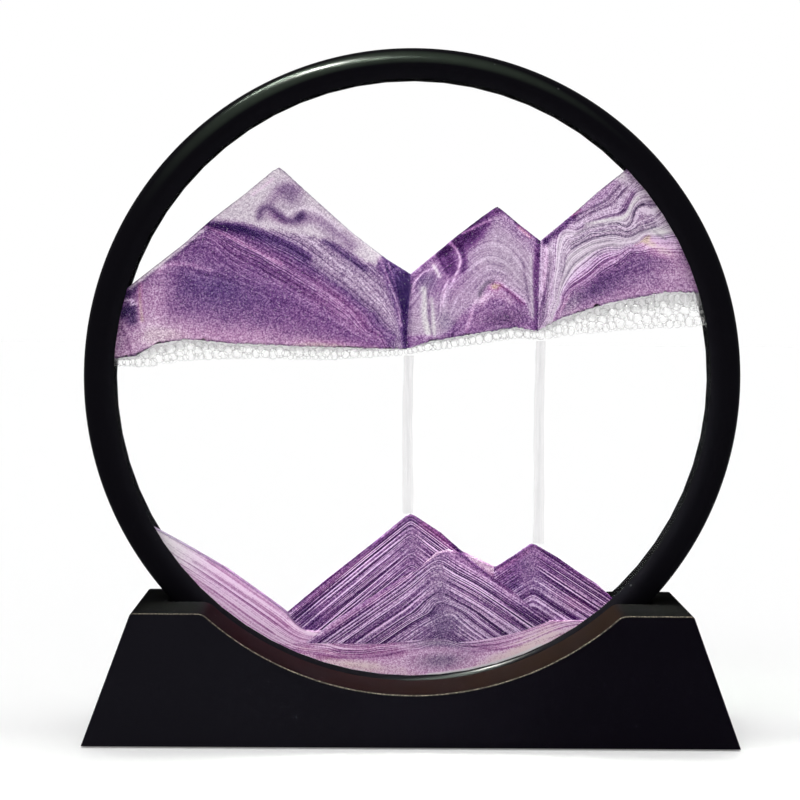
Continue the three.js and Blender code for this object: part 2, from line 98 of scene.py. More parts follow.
class Value:
    """A number, colour or vector that varies over a surface; sums of numbers add Math nodes."""

    def __init__(self, tree: "NodeTree", socket: bpy.types.NodeSocket) -> None:
        """Hold one output socket of a node tree."""
        self.tree = tree
        self.socket = socket

    def _math(self, operation: str, *terms: Number) -> "Value":
        """Add a Math node that works on the terms."""
        return self.tree.node("ShaderNodeMath", {"operation": operation}, dict(enumerate(terms)))

    def __add__(self, other: Number) -> "Value":
        """Add a number."""
        return self._math("ADD", self, other)

    __radd__ = __add__

    def __sub__(self, other: Number) -> "Value":
        """Take a number away."""
        return self._math("SUBTRACT", self, other)

    def __rsub__(self, other: Number) -> "Value":
        """Take this away from a number."""
        return self._math("SUBTRACT", other, self)

    def __mul__(self, other: Number) -> "Value":
        """Multiply by a number."""
        return self._math("MULTIPLY", self, other)

    __rmul__ = __mul__

    def __gt__(self, other: Number) -> "Value":
        """Give 1 where this is the larger, and 0 elsewhere."""
        return self._math("GREATER_THAN", self, other)


class NodeTree:
    """Nodes of one material or of the world."""

    def __init__(self, tree: bpy.types.NodeTree) -> None:
        """Start with an empty tree."""
        self.tree = tree
        self.tree.nodes.clear()

    @staticmethod
    def _pick(sockets: Sequence[bpy.types.NodeSocket], key: int | str) -> bpy.types.NodeSocket:
        """Find a socket by its number, or by its name among those in use."""
        named = (socket for socket in sockets if socket.name == key and socket.enabled)
        return sockets[key] if isinstance(key, int) else next(named)

    def node(
        self,
        kind: str,
        settings: dict[str, Any] | None = None,
        sockets: dict[int | str, Any] | None = None,
        output: int | str = 0,
    ) -> Value | None:
        """Add a node.

        Args:
            kind: The node's type.
            settings: Its properties, or a ramp's "stops" as (place, colour) pairs.
            sockets: Values or links of its inputs, by name or number.
            output: The output that is wanted, by name or number.

        Returns:
            The wanted output, or nothing where the node has none.
        """
        made = self.tree.nodes.new(kind)
        for key, setting in (settings or {}).items():
            if key == "stops":
                self._set_stops(made.color_ramp, setting)
            else:
                setattr(made, key, setting)
        for key, value in (sockets or {}).items():
            socket = self._pick(made.inputs, key)
            if isinstance(value, Value):
                self.tree.links.new(value.socket, socket)
            else:
                socket.default_value = value
        return Value(self, self._pick(made.outputs, output)) if made.outputs else None

    @staticmethod
    def _set_stops(ramp: bpy.types.ColorRamp, stops: Stops) -> None:
        """Give a ramp its stops.

        Args:
            ramp: The ramp of a new node.
            stops: Places from 0 to 1 with their colours.
        """
        while len(ramp.elements) < len(stops):
            ramp.elements.new(1.0)
        for element, (place, colour) in zip(ramp.elements, stops):
            element.position = place
            element.color = colour

    def attribute(self, name: str) -> Value:
        """Read a number that the mesh stores at its points."""
        return self.node("ShaderNodeAttribute", {"attribute_name": name}, output="Fac")

    def place(self) -> Value:
        """Read the place on the piece, in metres."""
        return self.node("ShaderNodeTexCoord", output="Object")

    def noise(self, vector: Value, size: float, detail: float = 2.0) -> Value:
        """Add soft noise about 0.5, with patches of a size in the vector's unit and octaves of detail."""
        sockets = {"Vector": vector, "Scale": 1 / size, "Detail": detail}
        return self.node("ShaderNodeTexNoise", None, sockets, "Fac")

    def cells(self, vector: Value, size: float) -> tuple[Value, Value, Value]:
        """Split space into grains.

        Args:
            vector: Where the grains are read.
            size: Width of a grain, in the vector's unit.

        Returns:
            Two numbers from 0 to 1 that differ from grain to grain, and the distance from a grain's middle.
        """
        sockets = {"Vector": vector, "Scale": 1 / size}
        colours = self.node("ShaderNodeTexVoronoi", None, sockets, "Color")
        distance = Value(self, colours.socket.node.outputs["Distance"])
        first = self.node("ShaderNodeSeparateColor", None, {0: colours}, "Red")
        second = Value(self, first.socket.node.outputs["Green"])
        return first, second, distance

    def steps(self, value: Value, low: float, high: float) -> Value:
        """Rise smoothly from 0 at low to 1 at high."""
        sockets = {"Value": value, "From Min": low, "From Max": high}
        return self.node("ShaderNodeMapRange", {"interpolation_type": "SMOOTHSTEP"}, sockets)

    def ramp(self, value: Value, stops: Stops) -> Value:
        """Colour a number by a ramp."""
        return self.node("ShaderNodeValToRGB", {"stops": stops}, {"Fac": value}, "Color")

    def mix(self, share: Number, first: Any, second: Any) -> Value:
        """Blend two colours; the second one's share runs from 0 to 1."""
        sockets = {"Factor": share, "A": first, "B": second}
        return self.node("ShaderNodeMix", {"data_type": "RGBA"}, sockets, "Result")

    def bump(self, height: Value, distance: float, strength: float) -> Value:
        """Turn a height from 0 to 1 into a bumpy normal."""
        sockets = {"Height": height, "Distance": distance, "Strength": strength}
        return self.node("ShaderNodeBump", None, sockets)

    def blend(self, share: Number, first: Value, second: Value) -> Value:
        """Blend two shaders."""
        return self.node("ShaderNodeMixShader", None, {0: share, 1: first, 2: second})

    def principled(self, **sockets: Any) -> Value:
        """Add the main shader; underscores in socket names stand for spaces."""
        named = {name.replace("_", " "): value for name, value in sockets.items()}
        return self.node("ShaderNodeBsdfPrincipled", None, named)

    def background_rays(self) -> Value:
        """Find the rays that show the background: those of the eye, of gloss and of glass.

        Returns:
            1 for such rays and 0 for others.
        """
        camera = self.node("ShaderNodeLightPath", output="Is Camera Ray")
        outputs = camera.socket.node.outputs
        gloss = Value(self, outputs["Is Glossy Ray"])
        glass = Value(self, outputs["Is Transmission Ray"])
        return (camera + gloss + glass) > 0.5


@dataclass(frozen=True)
class Finish:
    """Surface that pieces are given; each kind has nodes of its own."""

    name: str

    def surface(self, tree: NodeTree) -> Value:
        """Add the surface's nodes to an empty tree."""
        raise NotImplementedError

    def material(self) -> Material:
        """Make the material.

        Returns:
            The new material.
        """
        made = bpy.data.materials.new(self.name)
        made.use_nodes = True
        tree = NodeTree(made.node_tree)
        tree.node("ShaderNodeOutputMaterial", None, {"Surface": self.surface(tree)})
        return made


@dataclass(frozen=True)
class MouldedPlastic(Finish):
    """Black moulded plastic with a fine texture and specks of dust.

    The mesh may name a dull part; such plastic is dull at a slant, too.
    """

    colour: Colour
    roughness: float
    roughness_spread: float = 0.1
    specular: float = 0.0
    texture_size: float = 0.35 * MM
    texture_depth: float = 0.02 * MM
    texture_strength: float = 0.5
    wear_size: float = 14 * MM
    speck_size: float = 1.8 * MM
    speck_fade: Span = (0.08, 0.26)
    speck_share: float = 0.16
    speck_colour: Colour = shade(92, 90, 92)
    dull_part: str = ""
    dull_roughness: float = 0.9
    slant_fade: Span = (0.7, 0.9)

    def colours(self, tree: NodeTree, place: Value) -> Value:
        """Colour the surface.

        Args:
            tree: The material's nodes.
            place: Place on the piece.

        Returns:
            The colour.
        """
        tint, chance, distance = tree.cells(place, self.speck_size)
        dot = 1 - tree.steps(distance, *self.speck_fade)
        return tree.mix(dot * (chance > 1 - self.speck_share) * tint, self.colour, self.speck_colour)

    def surface(self, tree: NodeTree) -> Value:
        """Add the surface's nodes.

        Args:
            tree: The material's nodes.

        Returns:
            The surface.
        """
        place = tree.place()
        surface_marks = tree.noise(place, self.wear_size, 3) - 0.5
        fine = tree.noise(place, self.texture_size, 1)
        surface = tree.principled(
            Base_Color=self.colours(tree, place),
            Roughness=self.roughness + self.roughness_spread * 2 * surface_marks,
            Specular_IOR_Level=self.specular,
            Normal=tree.bump(fine, self.texture_depth, self.texture_strength),
        )
        if self.dull_part:
            dull = tree.principled(
                Base_Color=self.colour, Roughness=self.dull_roughness, Specular_IOR_Level=0.0
            )
            facing = tree.node("ShaderNodeLayerWeight", None, {"Blend": 0.5}, "Facing")
            slant = tree.steps(facing, *self.slant_fade)
            surface = tree.blend(tree.attribute(self.dull_part) + slant, surface, dull)
        return surface


@dataclass(frozen=True)
class StandPlastic(MouldedPlastic):
    """The stand's plastic, with a brown painted reflection in the saddle, a dull painted reflection tint on
    the ledges and pale painted highlights on its edges.

    The mesh says where: saddle, ledge and edge run from 0 to 1.
    """

    # Painted shade: the plastic is painted darker towards the right, away from the lamps.
    dim_colour: Colour = shade(12, 10, 16)
    # Painted reflection: the saddle's warm brown tint, redder on the left and olive on the right.
    saddle_reflection_left: Colour = shade(16, 6, 9)
    saddle_reflection_right: Colour = shade(20, 13, 10)
    # Painted reflection: a dull greenish grey tint on the ledges.
    ledge_reflection_colour: Colour = shade(13, 13, 12)
    # Painted highlight: pale dotted lines on the upward edges.
    edge_highlight_colour: Colour = shade(128, 119, 106)
    half_length: float = 60 * MM
    cloud_size: float = 10 * MM
    saddle_cover: float = 0.55
    saddle_cloud: float = 0.7
    ledge_cover: float = 0.4
    ledge_cloud: float = 0.8
    # Breaks that turn the painted edge highlight into dots.
    highlight_gap_size: float = 0.7 * MM
    highlight_gap_fade: Span = (0.4, 0.62)
    highlight_cover: float = 0.3

    def colours(self, tree: NodeTree, place: Value) -> Value:
        """Colour the surface.

        Args:
            tree: The material's nodes.
            place: Place on the piece.

        Returns:
            The colour.
        """
        x = tree.node("ShaderNodeSeparateXYZ", None, {0: place}, "X")
        # Painted shade: the base colour darkens towards the right.
        rightward = tree.steps(x, -self.half_length, self.half_length)
        cloud = tree.noise(place, self.cloud_size, 3)
        colour = tree.mix(rightward, super().colours(tree, place), self.dim_colour)
        # Painted reflection: a patchy brown tint in the saddle.
        brown = tree.mix(rightward, self.saddle_reflection_left, self.saddle_reflection_right)
        film = tree.attribute("saddle") * (self.saddle_cover + cloud * self.saddle_cloud)
        colour = tree.mix(film, colour, brown)
        # Painted reflection: a patchy tint on the ledges.
        ledge_reflection = tree.attribute("ledge") * (self.ledge_cover + cloud * self.ledge_cloud)
        colour = tree.mix(ledge_reflection, colour, self.ledge_reflection_colour)
        # Painted highlight: broken pale lines on the upward edges.
        highlight_gaps = tree.steps(tree.noise(place, self.highlight_gap_size, 2), *self.highlight_gap_fade)
        edge_highlight = tree.attribute("edge") * (self.highlight_cover + highlight_gaps * (1 - self.highlight_cover))
        return tree.mix(edge_highlight, colour, self.edge_highlight_colour)


@dataclass(frozen=True)
class RingPlastic(MouldedPlastic):
    """The ring's plastic, with a painted highlight: a soft greenish sheen painted into its colour on its
    upper part, where it faces up and to the front.
    """

    # Painted highlight: the greenish sheen is put into the base colour.
    sheen_colour: Colour = shade(44, 51, 44)
    sheen_towards: Triple = (-0.16, -0.84, 0.52)
    sheen_start: float = 0.87
    sheen_heights: Span = (138 * MM, 182 * MM)
    patch_size: float = 6 * MM
    patch_cover: float = 0.7
    patch_spread: float = 0.6

    def colours(self, tree: NodeTree, place: Value) -> Value:
        """Colour the surface.

        Args:
            tree: The material's nodes.
            place: Place on the piece.

        Returns:
            The colour.
        """
        facing = tree.node("ShaderNodeTexCoord", output="Normal")
        sockets = {0: facing, 1: self.sheen_towards}
        likeness = tree.node("ShaderNodeVectorMath", {"operation": "DOT_PRODUCT"}, sockets, "Value")
        height = tree.node("ShaderNodeSeparateXYZ", None, {0: place}, "Z")
        patches = self.patch_cover + tree.noise(place, self.patch_size, 3) * self.patch_spread
        upper = tree.steps(height, *self.sheen_heights)
        # Painted sheen where the surface faces up and to the front, on the ring's upper part only.
        sheen = tree.steps(likeness, self.sheen_start, 1.0) * (patches * upper)
        return tree.mix(sheen, super().colours(tree, place), self.sheen_colour)


@dataclass(frozen=True)
class SoftRubber(Finish):
    """Dull rubber or sealant with a faint mottle."""

    colour: Colour
    mottle: Colour
    roughness: float
    roughness_spread: float = 0.2
    mottle_size: float = 1.2 * MM
    texture_depth: float = 0.03 * MM
    texture_strength: float = 0.6

    def surface(self, tree: NodeTree) -> Value:
        """Add the surface's nodes.

        Args:
            tree: The material's nodes.

        Returns:
            The surface.
        """
        place = tree.place()
        cloud = tree.noise(place, self.mottle_size, 3)
        return tree.principled(
            Base_Color=tree.mix(cloud, self.colour, self.mottle),
            Roughness=self.roughness + (cloud - 0.5) * self.roughness_spread,
            Specular_IOR_Level=0.0,
            Normal=tree.bump(cloud, self.texture_depth, self.texture_strength),
        )


@dataclass(frozen=True)
class ClearSheet(Finish):
    """Glass or water: nearly all light goes through, and a little is mirrored, more at a slant."""

    tint: Colour
    mirror: float
    haze: float
    haze_size: float = 30 * MM
    slant_blend: float = 0.2
    gloss_roughness: float = 0.05

    def surface(self, tree: NodeTree) -> Value:
        """Add the surface's nodes.

        Args:
            tree: The material's nodes.

        Returns:
            The surface.
        """
        slant = tree.node("ShaderNodeLayerWeight", None, {"Blend": self.slant_blend}, "Fresnel")
        smear = tree.noise(tree.place(), self.haze_size, 4)
        clear = tree.node("ShaderNodeBsdfTransparent", None, {"Color": self.tint})
        mirror = {"Roughness": self.gloss_roughness, "Color": shade(255, 255, 255)}
        gloss = tree.node("ShaderNodeBsdfGlossy", None, mirror)
        return tree.blend(slant * self.mirror + smear * self.haze, clear, gloss)


@dataclass(frozen=True)
class BubbleSkin(Finish):
    """Skin of air bubbles: clear in the middle, a thin grey rim of painted shade that stands in for the dark
    edge a bubble shows in water.
    """

    name: str = "bubbles"
    middle: Colour = shade(252, 251, 252)
    # Painted shade: grey on the rim stands in for the dark edge that a bubble shows in water.
    rim: Colour = shade(164, 159, 163)
    middle_cover: float = 0.05
    rim_cover: float = 0.46
    rim_fade: Span = (0.8, 0.97)
    mottle_size: float = 1.6 * MM
    mottle_cover: float = 0.25
    roughness: float = 0.15
    rim_roughness: float = 0.1
    specular: float = 0.3

    def surface(self, tree: NodeTree) -> Value:
        """Add the surface's nodes.

        Args:
            tree: The material's nodes.

        Returns:
            The surface.
        """
        # Painted shade at each bubble's rim, where its surface faces sideways.
        rim = tree.steps(tree.attribute("rim"), *self.rim_fade)
        mottle = tree.noise(tree.place(), self.mottle_size, 2) - 0.5
        cover = self.middle_cover + rim * (self.rim_cover - self.middle_cover) + mottle * self.mottle_cover
        return tree.principled(
            Base_Color=tree.mix(rim, self.middle, self.rim),
            Roughness=self.roughness + rim * self.rim_roughness,
            Alpha=cover,
            Specular_IOR_Level=self.specular,
        )


@dataclass(frozen=True)
class FoamFilm(Finish):
    """Grey film of foam between the sand and the bubbles, with paler walls of flat cells."""

    name: str = "foam_film"
    film: Colour = shade(216, 214, 216)
    walls: Colour = shade(248, 248, 248)
    cover: float = 0.34
    cell_size: float = 2.2 * MM
    wall_fade: Span = (0.02, 0.1)
    cloud_size: float = 2.5 * MM
    cloud_reach: float = 1.4
    cover_fade: Span = (0.15, 0.5)
    roughness: float = 0.3
    roughness_spread: float = 0.2

    def surface(self, tree: NodeTree) -> Value:
        """Add the surface's nodes.

        Args:
            tree: The material's nodes.

        Returns:
            The surface.
        """
        place = tree.place()
        sockets = {"Vector": place, "Scale": 1 / self.cell_size}
        edge = tree.node("ShaderNodeTexVoronoi", {"feature": "DISTANCE_TO_EDGE"}, sockets, "Distance")
        wall = 1 - tree.steps(edge, *self.wall_fade)
        cloud = tree.noise(place, self.cloud_size, 3)
        fade = tree.attribute("rim") + (cloud - 0.5) * self.cloud_reach
        return tree.principled(
            Base_Color=tree.mix(wall, self.film, self.walls),
            Roughness=self.roughness + cloud * self.roughness_spread,
            Alpha=tree.steps(fade, *self.cover_fade) * self.cover,
        )


@dataclass(frozen=True)
class StripedSand(Finish):
    """Wet sand in violet, lilac and pink stripes.

    The mesh says where the stripes run: flow counts them from a crest inwards, tone is how pale the sand is,
    streak how strong its lines are, hue runs from blue at -1 over violet and pink to tan at 2, grey takes
    the colour out and grain is how speckled it is.
    """

    name: str = "striped_sand"
    violet: Stops = (
        (0.0, shade(46, 16, 66)), (0.2, shade(86, 44, 104)), (0.4, shade(118, 72, 132)),
        (0.5, shade(139, 94, 150)), (0.6, shade(158, 117, 165)), (0.8, shade(196, 159, 203)),
        (1.0, shade(237, 208, 242)),
    )
    blue: Stops = (
        (0.0, shade(38, 18, 72)), (0.4, shade(94, 68, 128)), (0.7, shade(156, 136, 176)),
        (1.0, shade(232, 224, 240)),
    )
    pink: Stops = (
        (0.0, shade(84, 24, 86)), (0.3, shade(132, 72, 130)), (0.5, shade(168, 100, 158)),
        (0.7, shade(199, 138, 190)), (0.85, shade(221, 171, 215)), (1.0, shade(248, 218, 244)),
    )
    tan: Stops = (
        (0.0, shade(92, 44, 50)), (0.5, shade(178, 132, 126)), (1.0, shade(246, 226, 214)),
    )
    grey: Stops = (
        (0.0, shade(48, 38, 64)), (0.5, shade(138, 122, 146)), (0.8, shade(200, 188, 200)),
        (1.0, shade(234, 228, 232)),
    )
    # Colour of the painted glints on a few grains.
    sparkle: Colour = shade(250, 244, 250)
    grain_size: float = 0.3 * MM
    grain_tone: float = 0.5
    grain_depth: float = 0.1 * MM
    grain_strength: float = 0.25
    line_pitch: float = 0.46
    line_weight: float = 0.58
    fine_pitch: float = 0.25
    fine_weight: float = 0.75
    line_length: float = 48 * MM
    pale_lines: Span = (0.55, 0.65)
    dark_lines: Span = (0.34, 0.45)
    wander_size: float = 15 * MM
    wander: float = 0.25
    ripple_size: float = 2.4 * MM
    ripple: float = 0.04
    cloud_size: float = 4 * MM
    cloud_tone: float = 0.16
    cloud_hue: float = 0.5
    # How many grains carry a painted glint, its fade and strength.
    glint_share: float = 0.02
    glint_fade: Span = (0.25, 0.6)
    glint_strength: float = 0.32
    glint_polish: float = 0.6
    roughness: float = 0.9

    def lines(self, tree: NodeTree, flow: Value, place: Value, pitch: float) -> Value:
        """Draw lines along the flow.

        Args:
            tree: The material's nodes.
            flow: The stripes' count.
            place: Place on the piece.
            pitch: Width of a line, in units of flow.

        Returns:
            1 on pale lines, -1 on dark lines and 0 between them.
        """
        x = tree.node("ShaderNodeSeparateXYZ", None, {0: place}, "X")
        z = Value(tree, x.socket.node.outputs["Z"])
        along = 1 / self.line_length
        vector = tree.node("ShaderNodeCombineXYZ", None, {0: flow * (1 / pitch), 1: x * along, 2: z * along})
        noise = tree.noise(vector, 1.0, 1)
        pale = tree.steps(noise, *self.pale_lines)
        return pale + tree.steps(noise, *self.dark_lines) - 1

    def surface(self, tree: NodeTree) -> Value:
        """Add the surface's nodes.

        Args:
            tree: The material's nodes.

        Returns:
            The surface.
        """
        place = tree.place()
        wander = tree.noise(place, self.wander_size, 2) - 0.5
        ripple = tree.noise(place, self.ripple_size, 1) - 0.5
        flow = tree.attribute("flow") + wander * self.wander + ripple * self.ripple
        broad = self.lines(tree, flow, place, self.line_pitch)
        fine = self.lines(tree, flow, place, self.fine_pitch)
        lines = broad * self.line_weight + fine * self.fine_weight
        grain, chance, distance = tree.cells(place, self.grain_size)
        cloud = tree.noise(place, self.cloud_size, 3) - 0.5
        speckle = ((grain - 0.5) * self.grain_tone + cloud * self.cloud_tone) * tree.attribute("grain")
        tone = tree.attribute("tone") + tree.attribute("streak") * lines + speckle
        hue = tree.attribute("hue") + cloud * self.cloud_hue
        colour = tree.mix(hue, tree.ramp(tone, self.violet), tree.ramp(tone, self.pink))
        colour = tree.mix(hue - 1, colour, tree.ramp(tone, self.tan))
        colour = tree.mix(0 - hue, colour, tree.ramp(tone, self.blue))
        colour = tree.mix(tree.attribute("grey"), colour, tree.ramp(tone, self.grey))
        # Painted glints: a few grains are painted near white and made smoother.
        dot = 1 - tree.steps(distance, *self.glint_fade)
        glint = (chance > 1 - self.glint_share) * dot * self.glint_strength
        return tree.principled(
            Base_Color=tree.mix(glint, colour, self.sparkle),
            Roughness=self.roughness - glint * self.glint_polish,
            Specular_IOR_Level=0.0,
            Normal=tree.bump(1 - distance, self.grain_depth, self.grain_strength),
        )


@dataclass(frozen=True)
class FallingSand(Finish):
    """Thin veil of falling grains, denser in the middle of the stream."""

    name: str = "falling_sand"
    colour: Colour = shade(172, 166, 174)
    cover: float = 0.18
    thin_cover: float = 0.45
    rim_fade: float = 0.35
    strand_width: float = 0.6 * MM
    strand_length: float = 12 * MM
    roughness: float = 0.95

    def surface(self, tree: NodeTree) -> Value:
        """Add the surface's nodes.

        Args:
            tree: The material's nodes.

        Returns:
            The surface.
        """
        place = tree.place()
        x = tree.node("ShaderNodeSeparateXYZ", None, {0: place}, "X")
        z = Value(tree, x.socket.node.outputs["Z"])
        sockets = {0: x * (1 / self.strand_width), 2: z * (1 / self.strand_length)}
        strands = tree.noise(tree.node("ShaderNodeCombineXYZ", None, sockets), 1.0, 2)
        dense = 1 - tree.attribute("rim") * self.rim_fade
        return tree.principled(
            Base_Color=self.colour,
            Roughness=self.roughness,
            Alpha=dense * (self.thin_cover + strands) * self.cover,
            Specular_IOR_Level=0.0,
        )


@dataclass(frozen=True)
class PaleFloor(Finish):
    """White floor that keeps the object's shadow; only the eye, gloss and glass see its own glow."""

    name: str = "pale_floor"
    colour: Colour = (0.8, 0.8, 0.8, 1.0)
    glow: float = 0.165

    def surface(self, tree: NodeTree) -> Value:
        """Add the surface's nodes.

        Args:
            tree: The material's nodes.

        Returns:
            The surface.
        """
        matt = tree.node("ShaderNodeBsdfDiffuse", None, {"Color": self.colour})
        glow = tree.node("ShaderNodeEmission", None, {"Strength": self.glow})
        lit = tree.node("ShaderNodeAddShader", None, {0: matt, 1: glow})
        return tree.blend(tree.background_rays(), matt, lit)


@dataclass(frozen=True)
class Dress:
    """What a finished piece is called, where it belongs and what it is made of."""

    name: str
    body: Body
    slot: str
    material: Material
    stands_for: tuple[str, ...] = ()


def make_piece(
    dress: Dress,
    points: Iterable[Sequence[float]],
    faces: Iterable[Sequence[int]],
    sharp_angle: float = math.radians(40),
) -> Object:
    """Make a closed mesh and set it on its body.

    Args:
        dress: The piece's name, body, slot and finish.
        points: Its points, in metres.
        faces: Its faces, as numbers of points.
        sharp_angle: Edges that turn by more than this stay sharp.

    Returns:
        The new object.
    """
    mesh = bpy.data.meshes.new(dress.name)
    mesh.from_pydata([tuple(point) for point in points], [], [tuple(face) for face in faces])
    work = bmesh.new()
    work.from_mesh(mesh)
    bmesh.ops.remove_doubles(work, verts=work.verts, dist=WELD_GAP)
    bmesh.ops.dissolve_degenerate(work, edges=work.edges, dist=SLIVER_GAP)
    bmesh.ops.recalc_face_normals(work, faces=work.faces)
    work.to_mesh(mesh)
    work.free()
    mesh.materials.append(dress.material)
    mesh.shade_smooth()
    mesh.set_sharp_from_angle(angle=sharp_angle)
    made = bpy.data.objects.new(dress.name, mesh)
    bpy.context.scene.collection.objects.link(made)
    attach(made, dress.body.value)
    if dress.stands_for:
        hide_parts(*dress.stands_for)
    LOG.info("%s: %d faces", dress.name, len(mesh.polygons))
    return made


def dress_node(node: str, material: Material) -> None:
    """Give a carried-over piece its finish.

    Args:
        node: Name of the piece.
        material: The finish.
    """
    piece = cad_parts[node]
    piece.data.materials.clear()
    piece.data.materials.append(material)
    LOG.info("%s: dressed", node)


def store(mesh: Mesh, name: str, numbers: np.ndarray) -> None:
    """Store one number for each point of a mesh."""
    mesh.attributes.new(name, "FLOAT", "POINT").data.foreach_set("value", numbers.astype(np.float32))


def vectors(items: bpy.types.bpy_prop_collection, name: str) -> np.ndarray:
    """Read a vector of each item.

    Args:
        items: Points or normals of a mesh.
        name: The vector's name there.

    Returns:
        Rows of x, y and z.
    """
    found = np.zeros(len(items) * 3)
    items.foreach_get(name, found)
    return found.reshape(-1, 3)


def places(mesh: Mesh) -> np.ndarray:
    """Read where the points of a mesh lie, in metres."""
    return vectors(mesh.vertices, "co")


def facings(mesh: Mesh) -> np.ndarray:
    """Read where the surface faces at each point of a mesh."""
    return vectors(mesh.vertex_normals, "vector")


def rise(values: np.ndarray, low: float, high: float) -> np.ndarray:
    """Rise from 0 at low to 1 at high."""
    return np.clip((values - low) / (high - low), 0, 1)


def quads(here: int, there: int, count: int) -> list[list[int]]:
    """List the faces between two rings with a count of points, from the numbers of their first points."""
    afters = [(i + 1) % count for i in range(count)]
    return [[here + i, here + after, there + after, there + i] for i, after in enumerate(afters)]


def turned(profile: Line, segments: int, centre: Vector) -> tuple[list[Vector], list[list[int]]]:
    """Turn a closed profile round the ring's axis.

    Args:
        profile: Points as (radius, y from the ring's plane).
        segments: Steps round the axis.
        centre: The ring's centre.

    Returns:
        Points and faces.
    """
    count = len(profile)
    points = []
    faces = []
    for step in range(segments):
        angle = 2 * math.pi * step / segments
        points += [centre + Vector((r * math.cos(angle), y, r * math.sin(angle))) for r, y in profile]
        faces += quads(step * count, (step + 1) % segments * count, count)
    return points, faces


def arc(centre: Point, radius: float, start: float, end: float, steps: int) -> list[Point]:
    """List points along a round stretch between two angles in radians, both ends included."""
    angles = np.linspace(start, end, steps + 1)
    return [(centre[0] + radius * math.cos(a), centre[1] + radius * math.sin(a)) for a in angles]


def bend(start: Point, corner: Point, end: Point, steps: int) -> list[Point]:
    """Points of a soft corner.

    Args:
        start: Where the bend begins.
        corner: The sharp corner that it replaces.
        end: Where the bend ends.
        steps: Steps along it.

    Returns:
        The points, both ends included.
    """
    a, b, c = (np.array(point) for point in (start, corner, end))
    shares = np.linspace(0, 1, steps + 1)
    return [tuple((1 - t) ** 2 * a + 2 * t * (1 - t) * b + t * t * c) for t in shares]


@dataclass
class RingPlace:
    """Where the ring stands and how large it is."""

    centre: Vector
    radius: float
    tube_depth: float

    @classmethod
    def from_frame(cls) -> "RingPlace":
        """Take the sizes from the frame."""
        low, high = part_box("front_ring_shell")[0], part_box("rear_ring_shell")[1]
        return cls((low + high) / 2, (high.x - low.x) / 2, high.y - low.y)


